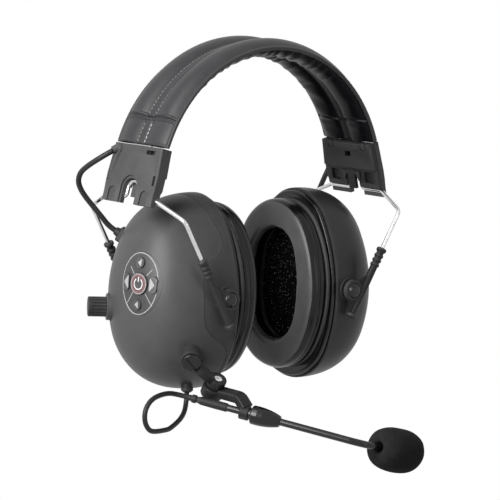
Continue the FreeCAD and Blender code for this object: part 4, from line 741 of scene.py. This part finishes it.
def pad_drop(angle, y):
    """How far the inner pad hangs below its sewn face, in mm."""
    side, away = abs(y), abs(angle)
    share = min(1.0, max(0.0, (side - GROOVE_HALF) / (PAD_HALF - GROOVE_HALF)))
    body = 1 - abs(2 * share - 1) ** 2.4
    full = 4.5 - 0.8 * step_up(PLEAT, PLEAT + 1.5, away)
    drop = 1.7 - 1.0 * share + (full - 1.2) * body
    if side < GROOVE_HALF:
        drop = 1.75 - 0.4 * (side / GROOVE_HALF) ** 4
    # Puckers lean away from the groove and die out away from the crown
    top = 1 - step_up(18.0, 52.0, away)
    lean = angle * (1 if y < 0 else -1)
    drift = 1.6 * wave_of(angle * 13) + 0.7 * wave_of(angle * 29 + 40)
    wave = math.sin(math.radians(lean * 68) + side * 0.26 + drift)
    fold = ((0.5 + 0.5 * wave) ** 1.6 - 0.45) * (0.75 + 0.35 * wave_of(angle * 7 + 25))
    edge = step_up(3.0, 8.0, side)
    drop += fold * edge * (0.95 * top + 0.10)
    drop += 0.22 * math.sin(math.radians(angle * 31) + side * 0.22) * edge * (1 - top)
    # The pleat draws the pad in, and it swells again beside it
    drop -= 1.5 * hump(PLEAT + 0.9 * math.cos(math.radians(side * 15)), 0.8, away)
    drop += 0.45 * hump(PLEAT + 3.2, 2.6, away) * body
    return max(0.25, drop)


def pad_ring(angle):
    """One closed cross-section of the inner pad."""
    ring = [band_point(angle, 81.85, y) for y in (-20.9, 0.0, 20.9)]
    for y in np.linspace(21.45, -21.45, 71):
        ring.append(band_point(angle, PAD_RADIUS - pad_drop(angle, float(y)), float(y)))
    return ring


pad_rings = [pad_ring(angle) for angle in np.arange(-70.5, 70.51, 0.4)]
pad = soft_piece("headband_lining", swept_mesh("headband_lining", pad_rings), "headband_pad",
                 "leatherette_pad")
print("lining", len(pad.data.vertices), "points")

# %% [markdown]
# ## Ear cushions
# Each cushion is a foam ring in leatherette, with a full roll as its face and a side drawn in to a seam.
# A torus could be squashed into shape, but the opening and the rim are different ovals. So both outlines
# are read from the CAD solid with rays, and one section of the roll is stretched between them.

# %% Outlines of the CAD solids
def tree_of(names):
    """One search tree over some CAD pieces."""
    points, faces = [], []
    for name in names:
        mesh = nodes[name].data
        offset = len(points)
        points += [vertex.co.copy() for vertex in mesh.vertices]
        faces += [[offset + index for index in face.vertices] for face in mesh.polygons]
    return BVHTree.FromPolygons(points, faces)


def outline_radii(tree, x, count, outward):
    """Distances from the X axis to the outermost or innermost wall, at even turns."""
    beyond = 0.2
    found = []
    for step in range(count):
        turn = 2 * math.pi * step / count
        way = Vector((0, math.cos(turn), math.sin(turn)))
        if outward:
            hit = tree.ray_cast(Vector((x, 0, 0)) + way * beyond, -way)[0]
        else:
            hit = tree.ray_cast(Vector((x, 0, 0)), way)[0]
        found.append(math.hypot(hit.y, hit.z))
    return found


# %% Ear cushions
AROUND = 176
FACE_X, BACK_X = 0.0195, 0.0310
# Share from the hole to the rim, share from face to back, for the section of the roll
ROLL_SECTION = [(0.050, 0.97), (0.020, 0.82), (0.010, 0.62), (0.020, 0.42), (0.060, 0.22), (0.115, 0.09),
                (0.18, 0.028), (0.26, 0.008), (0.36, 0.0), (0.48, -0.012), (0.60, -0.012), (0.70, 0.0),
                (0.775, 0.018), (0.835, 0.055), (0.885, 0.115), (0.93, 0.195), (0.965, 0.30), (0.985, 0.42),
                (0.985, 0.52), (0.955, 0.585), (0.945, 0.61), (0.965, 0.64), (0.985, 0.70), (0.975, 0.80),
                (0.93, 0.90), (0.89, 0.97), (0.5, 0.985)]
FACE_FROM, FACE_TO = 3, 13  # the part of the section that is the face
CREASE_REACH = 0.22  # creases start at the hole and end at this share of the way to the rim


def face_waver(turn, out):
    """How far the face of a cushion stands off its even roll, in metres."""
    waver = math.sin(turn * 7 + out * 5) * 0.00012 + math.sin(turn * 17 + 1.4) * 0.00006 * out
    fold = (turn * 2.1 + out * 1.3 + 0.5 * math.sin(turn * 5)) % 2.0
    waver += 0.00022 * hump(1.0, 0.14, fold) * hump(0.55, 0.35, out)
    return waver


def cushion_mesh(name, node, side):
    """A cushion ring with a crowned face, soft creases and a seam half way down its side."""
    tree = tree_of([node])
    middle = side * (FACE_X + BACK_X) / 2
    hole = outline_radii(tree, middle, AROUND, False)
    rim = outline_radii(tree, middle, AROUND, True)
    rings = []
    for step in range(AROUND):
        turn = 2 * math.pi * step / AROUND
        ring = []
        for out, deep in ROLL_SECTION:
            radius = hole[step] + (rim[step] - hole[step]) * out
            inner = max(0.0, CREASE_REACH - out) / CREASE_REACH
            crease = math.sin(turn * 23 + 2.1 * math.sin(turn * 3)) * inner * 0.00022
            x = FACE_X + (BACK_X - FACE_X) * deep + face_waver(turn, out) * (1 - deep)
            radius += crease
            ring.append(Vector((side * x, math.cos(turn) * radius, math.sin(turn) * radius)))
        rings.append(ring)
    mesh = swept_mesh(name, rings, closed_along=True)
    mesh.materials.append(MATERIALS["cushion_face"])
    mesh.materials.append(MATERIALS["cushion_side"])
    return mesh


def smooth_once(piece):
    """One level of subdivision, which rounds the grid of a soft piece."""
    smooth = piece.modifiers.new("smooth", "SUBSURF")
    smooth.levels = 1
    smooth.render_levels = 1


SIDES = ((-1, "left"), (1, "right"))
cushions = []
for side, side_name in SIDES:
    mesh = cushion_mesh("cushion_soft_" + side_name, "cushion_" + side_name, side)
    piece = new_object("cushion_soft_" + side_name, mesh)
    smooth_once(piece)
    for index, face in enumerate(mesh.polygons):
        face.material_index = 0 if FACE_FROM <= index % len(ROLL_SECTION) <= FACE_TO else 1
    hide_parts("cushion_" + side_name)
    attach(piece, "cup_" + side_name)
    cushions.append(piece)
print("cushions", [len(piece.data.vertices) for piece in cushions])

# %% [markdown]
# ## Foam liners
# Behind each ear opening lies a loose sheet of speckled foam that hides the speaker. A flat disc could do,
# but a real sheet sags in the middle and curls up at its rim, so a few rings follow that section.

# %% Foam liners
LINER_X = 0.0405
LINER_FIT = 0.998
# Share of the outline's radius, and distance from the middle of the head in metres
LINER_SECTION = ((0.03, 0.0388), (0.2, 0.0387), (0.4, 0.0383), (0.6, 0.0374), (0.78, 0.0363), (0.9, 0.0352),
                 (0.97, 0.0345), (1.0, 0.0352), (1.0, 0.0400), (0.9, 0.0418), (0.4, 0.0418), (0.03, 0.0418))


def liner_mesh(name, side):
    """A dished foam sheet, bounded by the outline of its CAD solid."""
    tree = tree_of(["liner_" + name])
    rim = outline_radii(tree, side * LINER_X, 120, True)
    rings = []
    for share, x in LINER_SECTION:
        ring = []
        for step, radius in enumerate(rim):
            turn = 2 * math.pi * step / len(rim)
            swell = math.sin(turn * 5 + share * 9) * 0.00015
            ring.append(Vector((side * (x + swell), math.cos(turn) * radius * share * LINER_FIT,
                                math.sin(turn) * radius * share * LINER_FIT)))
        rings.append(ring)
    return swept_mesh("liner_foam_" + name, rings)


liners = []
for side, side_name in SIDES:
    liners.append(soft_piece("liner_foam_" + side_name, liner_mesh(side_name, side), "liner_" + side_name,
                             "speckled_foam"))
print("liners", [len(piece.data.vertices) for piece in liners])

# %% [markdown]
# ## Windscreen
# An egg of open foam slips over the end of the boom and keeps breath off the microphone. It has a round nose
# and a dark mouth where the boom enters. A stretched sphere would lack the mouth, so a profile is turned
# round the foam's own axis, with shallow dents, because foam is never quite round.

# %% Windscreen
BOOM_WAY = Vector((0.560, -0.810, -0.172)).normalized()
FOAM_WAY = Vector((0.960, 0.166, -0.226)).normalized()
CLAMP = Vector((-0.0472, -0.0620, -0.0612))
FOAM_BASE = CLAMP + BOOM_WAY * 0.0695 + FOAM_WAY * 0.0124
FOAM_LONG, FOAM_WIDE = 0.036, 0.0127
FOAM_FIT = 0.995
FOAM_AROUND = 72
# Share of the radius, share of the length
FOAM_PROFILE = [(0.18, 0.165), (0.20, 0.10), (0.235, 0.03), (0.30, 0.002), (0.42, 0.0), (0.58, 0.02),
                (0.73, 0.062), (0.84, 0.12), (0.915, 0.195), (0.965, 0.29), (0.99, 0.39), (1.0, 0.5),
                (0.99, 0.61), (0.955, 0.72), (0.88, 0.81), (0.76, 0.885), (0.60, 0.94), (0.40, 0.975),
                (0.2, 0.993), (0.04, 0.999)]


def windscreen_mesh():
    """The foam egg, turned round its own axis from its profile."""
    side = FOAM_WAY.orthogonal().normalized()
    other = FOAM_WAY.cross(side)
    rings = []
    for wide, long in FOAM_PROFILE:
        ring = []
        for step in range(FOAM_AROUND):
            turn = 2 * math.pi * step / FOAM_AROUND
            dent = 1 + 0.010 * math.sin(turn * 3 + long * 4) + 0.006 * math.sin(turn * 7 + long * 11)
            out = (side * math.cos(turn) + other * math.sin(turn)) * FOAM_WIDE * wide * dent * FOAM_FIT
            ring.append(FOAM_BASE + FOAM_WAY * FOAM_LONG * long + out)
        rings.append(ring)
    return swept_mesh("windscreen_foam", rings)


windscreen = soft_piece("windscreen_foam", windscreen_mesh(), "windscreen", "foam")
smooth_once(windscreen)
print("foam base", [round(x, 4) for x in FOAM_BASE])

# %% [markdown]
# ## Prints on the key pad
# Rings, dividers, arrows and a power sign are printed on the curved pad and on its five keys.
# They could be an image on the pad. They are thin inlays instead, laid on the skin with rays along the pad's
# normal, because they stay sharp up close and each can ride on the key that it belongs to.

# %% Skin of the pad
PAD_NORMAL = Vector((-0.99, -0.139, 0)).normalized()
PAD_CENTRE = Vector((-0.0858, -0.0103, 0.0071))
PAD_X = Vector((0.139, -0.99, 0)).normalized()
PAD_Y = PAD_NORMAL.cross(PAD_X)
SKIN = tree_of(["keypad_plate", "dome_left", "power_button", "button_up", "button_down", "button_rear",
                "button_front"])
ABOVE = 0.02  # where the rays start over the pad, in metres
SUNK = -0.05  # how deep the edges of a print reach into the skin, in mm


def on_skin(x, y, lift):
    """The pad's skin under (x, y) in mm, raised by lift in mm. Gaps between the pieces are bridged."""
    start = PAD_CENTRE + PAD_X * x / 1000 + PAD_Y * y / 1000 + PAD_NORMAL * ABOVE
    for aside in (0.0, 0.35, -0.35, 0.7, -0.7, 1.2, -1.2):
        hit, normal, _, distance = SKIN.ray_cast(start + (PAD_X + PAD_Y) * aside / 1000, -PAD_NORMAL)
        if hit and distance < 0.05 and normal.dot(PAD_NORMAL) > 0.3:
            return start - PAD_NORMAL * distance + normal * lift / 1000
    print("no skin under", round(x, 2), round(y, 2))
    return start - PAD_NORMAL * ABOVE


# %% Ribbons and arrow heads
def ribbon(name, points, width, body, material, closed=False, lift=0.05):
    """A thin raised line over the skin through points in mm."""
    build = bmesh.new()
    rows = []
    count = len(points)
    for index, (x, y) in enumerate(points):
        if closed:
            before, after = points[index - 1], points[(index + 1) % count]
        else:
            before, after = points[max(index - 1, 0)], points[min(index + 1, count - 1)]
        dx, dy = after[0] - before[0], after[1] - before[1]
        length = math.hypot(dx, dy)
        nx, ny = -dy / length, dx / length
        rows.append([build.verts.new(on_skin(x + nx * width * share, y + ny * width * share, height))
                     for share, height in ((-0.5, SUNK), (-0.42, lift), (0.42, lift), (0.5, SUNK))])
    join_rows(build, rows, around=False, along=closed)
    return print_piece(name, build, body, material)


def print_piece(name, build, body, material):
    """Turns built faces into a print that rides on a body."""
    bmesh.ops.recalc_face_normals(build, faces=build.faces)
    mesh = mesh_of(name, build)
    if sum(face.normal.dot(PAD_NORMAL) for face in mesh.polygons) < 0:
        mesh.flip_normals()
    mesh.materials.append(MATERIALS[material])
    piece = new_object(name, mesh)
    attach(piece, body)
    return piece


def loop_points(x, y, half_x, half_y, count=72, start=0.0, end=360.0):
    """Points of an ellipse or of part of it."""
    whole = end - start >= 360
    steps = count if whole else count + 1
    turns = [math.radians(start + (end - start) * k / count) for k in range(steps)]
    return [(x + half_x * math.cos(t), y + half_y * math.sin(t)) for t in turns]


def arrow(name, corners, body, material, lift=0.1):
    """A filled arrow head with rounded corners, domed a little."""
    corners = [Vector((x, y)) for x, y in corners]
    middle = sum(corners, Vector((0, 0))) / 3
    outline = []
    for index, corner in enumerate(corners):
        before, after = corners[index - 1], corners[(index + 1) % 3]
        for share in (0.16, 0.05):
            outline.append(corner.lerp(before, share).lerp(middle, 0.04 if share < 0.1 else 0))
        outline.append(corner.lerp(after, 0.16))
        for share in (0.4, 0.65):
            outline.append(corner.lerp(after, share))
    build = bmesh.new()
    rows = []
    for share, height in ((1.0, SUNK), (0.93, lift), (0.55, lift + 0.04), (0.15, lift + 0.05)):
        rows.append([build.verts.new(on_skin(*middle.lerp(point, share), height)) for point in outline])
    join_rows(build, rows)
    build.faces.new(rows[-1])
    return print_piece(name, build, body, material)


# %% Prints
ribbon("ring_outer", loop_points(-1.0, -0.1, 13.2, 17.35, 120), 0.55, "cup_left", "print_grey", closed=True)
ribbon("ring_power_white", loop_points(0, 0, 5.5, 5.5), 0.5, "power_button", "print_grey", closed=True)
ribbon("ring_power_red", loop_points(0, 0, 4.6, 4.6), 0.5, "power_button", "print_red", closed=True)
ribbon("power_arc", loop_points(0, 0, 3.1, 3.1, 40, 122, 418), 0.75, "power_button", "print_white")
ribbon("power_bar", [(0, 1.2), (0, 2.4), (0, 4.0)], 0.85, "power_button", "print_white")
DIVIDERS = (("upper_rear", (-4.7, 5.0), (-8.2, 8.9)), ("upper_front", (4.7, 5.0), (7.8, 8.6)),
            ("lower_rear", (-4.8, -5.2), (-9.6, -11.9)), ("lower_front", (4.8, -5.2), (9.6, -11.9)))
for name, start, end in DIVIDERS:
    line = [tuple(a + (b - a) * k / 8 for a, b in zip(start, end)) for k in range(9)]
    ribbon("divider_" + name, line, 0.5, "cup_left", "print_grey")
arrow("arrow_up", [(-2.1, 11.9), (0.9, 14.2), (0.9, 9.6)], "button_up", "print_grey")
arrow("arrow_down", [(-2.2, -11.9), (0.7, -9.7), (0.7, -14.1)], "button_down", "print_grey")
arrow("arrow_rear", [(-12.1, 0.2), (-8.2, 4.4), (-8.2, -4.0)], "button_rear", "print_grey")
arrow("arrow_front", [(11.4, 0.2), (7.9, 4.4), (7.9, -4.0)], "button_front", "print_grey")
marks = [item for item in bpy.data.objects if item.name.startswith(("ring", "power", "divider", "arrow"))]
print("prints", len(marks))

# %% [markdown]
# ## Studio
# The photograph has a bare white ground. A strong light on a white floor would give that too, but it would
# wash out the black pieces. So the ground is white only to the camera and in reflections, and dim to every
# other ray. A large soft box stands on the left, a weaker one above, and a narrow strip in front draws the
# bright lines on edges and on the boom.

# %% Lamps
def area_light(name, place, target, width, height, watts):
    """A soft box that faces the target."""
    data = bpy.data.lights.new(name, "AREA")
    data.shape = "RECTANGLE"
    data.size = width
    data.size_y = height
    data.energy = watts
    lamp = new_object(name, data)
    lamp.location = place
    lamp.rotation_euler = (Vector(target) - Vector(place)).to_track_quat("-Z", "Y").to_euler()
    return lamp


# %% White ground
PAPER = (0.16, 0.16, 0.16, 1)
WHITE = (1, 1, 1, 1)


def sees_white(tree):
    """1 for rays that show the background: from the camera, off a shiny surface or through glass."""
    ray = tree.nodes.new("ShaderNodeLightPath")
    first = add_node(tree, "ShaderNodeMath", operation="MAXIMUM")
    both = add_node(tree, "ShaderNodeMath", operation="MAXIMUM")
    tree.links.new(ray.outputs["Is Camera Ray"], first.inputs[0])
    tree.links.new(ray.outputs["Is Glossy Ray"], first.inputs[1])
    tree.links.new(first.outputs[0], both.inputs[0])
    tree.links.new(ray.outputs["Is Transmission Ray"], both.inputs[1])
    return both.outputs[0]


def plain_ground():
    """White paper to the camera and in reflections, pale grey to every other ray."""
    made = bpy.data.materials.new("ground")
    made.use_nodes = True
    tree = made.node_tree
    tree.nodes.clear()
    paper = add_node(tree, "ShaderNodeBsdfDiffuse", {"Color": PAPER})
    glow = tree.nodes.new("ShaderNodeEmission")
    mix = tree.nodes.new("ShaderNodeMixShader")
    out = tree.nodes.new("ShaderNodeOutputMaterial")
    tree.links.new(sees_white(tree), mix.inputs[0])
    tree.links.new(paper.outputs[0], mix.inputs[1])
    tree.links.new(glow.outputs[0], mix.inputs[2])
    tree.links.new(mix.outputs[0], out.inputs["Surface"])
    return made


def studio_world(strength):
    """White to the camera and in reflections, and a dim even light to every other ray."""
    made = bpy.data.worlds.new("studio")
    made.use_nodes = True
    tree = made.node_tree
    tree.nodes.clear()
    dim = add_node(tree, "ShaderNodeBackground", {"Color": WHITE, "Strength": strength})
    white = add_node(tree, "ShaderNodeBackground", {"Color": WHITE, "Strength": 1.0})
    mix = tree.nodes.new("ShaderNodeMixShader")
    out = tree.nodes.new("ShaderNodeOutputWorld")
    tree.links.new(sees_white(tree), mix.inputs[0])
    tree.links.new(dim.outputs[0], mix.inputs[1])
    tree.links.new(white.outputs[0], mix.inputs[2])
    tree.links.new(mix.outputs[0], out.inputs["Surface"])
    return made


# %% Studio
FLOOR_HALF = 6
FLOOR_GAP = 0.0005  # under the lowest CAD point at rest, in metres


def studio_floor():
    """A wide floor just below the headset."""
    build = bmesh.new()
    bmesh.ops.create_grid(build, x_segments=24, y_segments=24, size=FLOOR_HALF)
    mesh = mesh_of("floor", build)
    made = new_object("floor", mesh)
    made.location = (0, 0, cad_bounds[0][2] - FLOOR_GAP)
    mesh.materials.append(plain_ground())
    return made


studio_floor()
bpy.context.scene.world = studio_world(0.08)
bpy.context.scene.view_settings.view_transform = "Standard"
area_light("left_box", (-1.25, -0.25, 0.5), (0, 0, 0.0), 0.8, 0.9, 27)
area_light("top_box", (-0.75, -0.1, 1.05), (0, 0, 0.0), 0.6, 0.6, 5)
area_light("front_strip", (0.12, -1.35, 0.12), (0, 0, 0.0), 0.08, 0.9, 1.6)
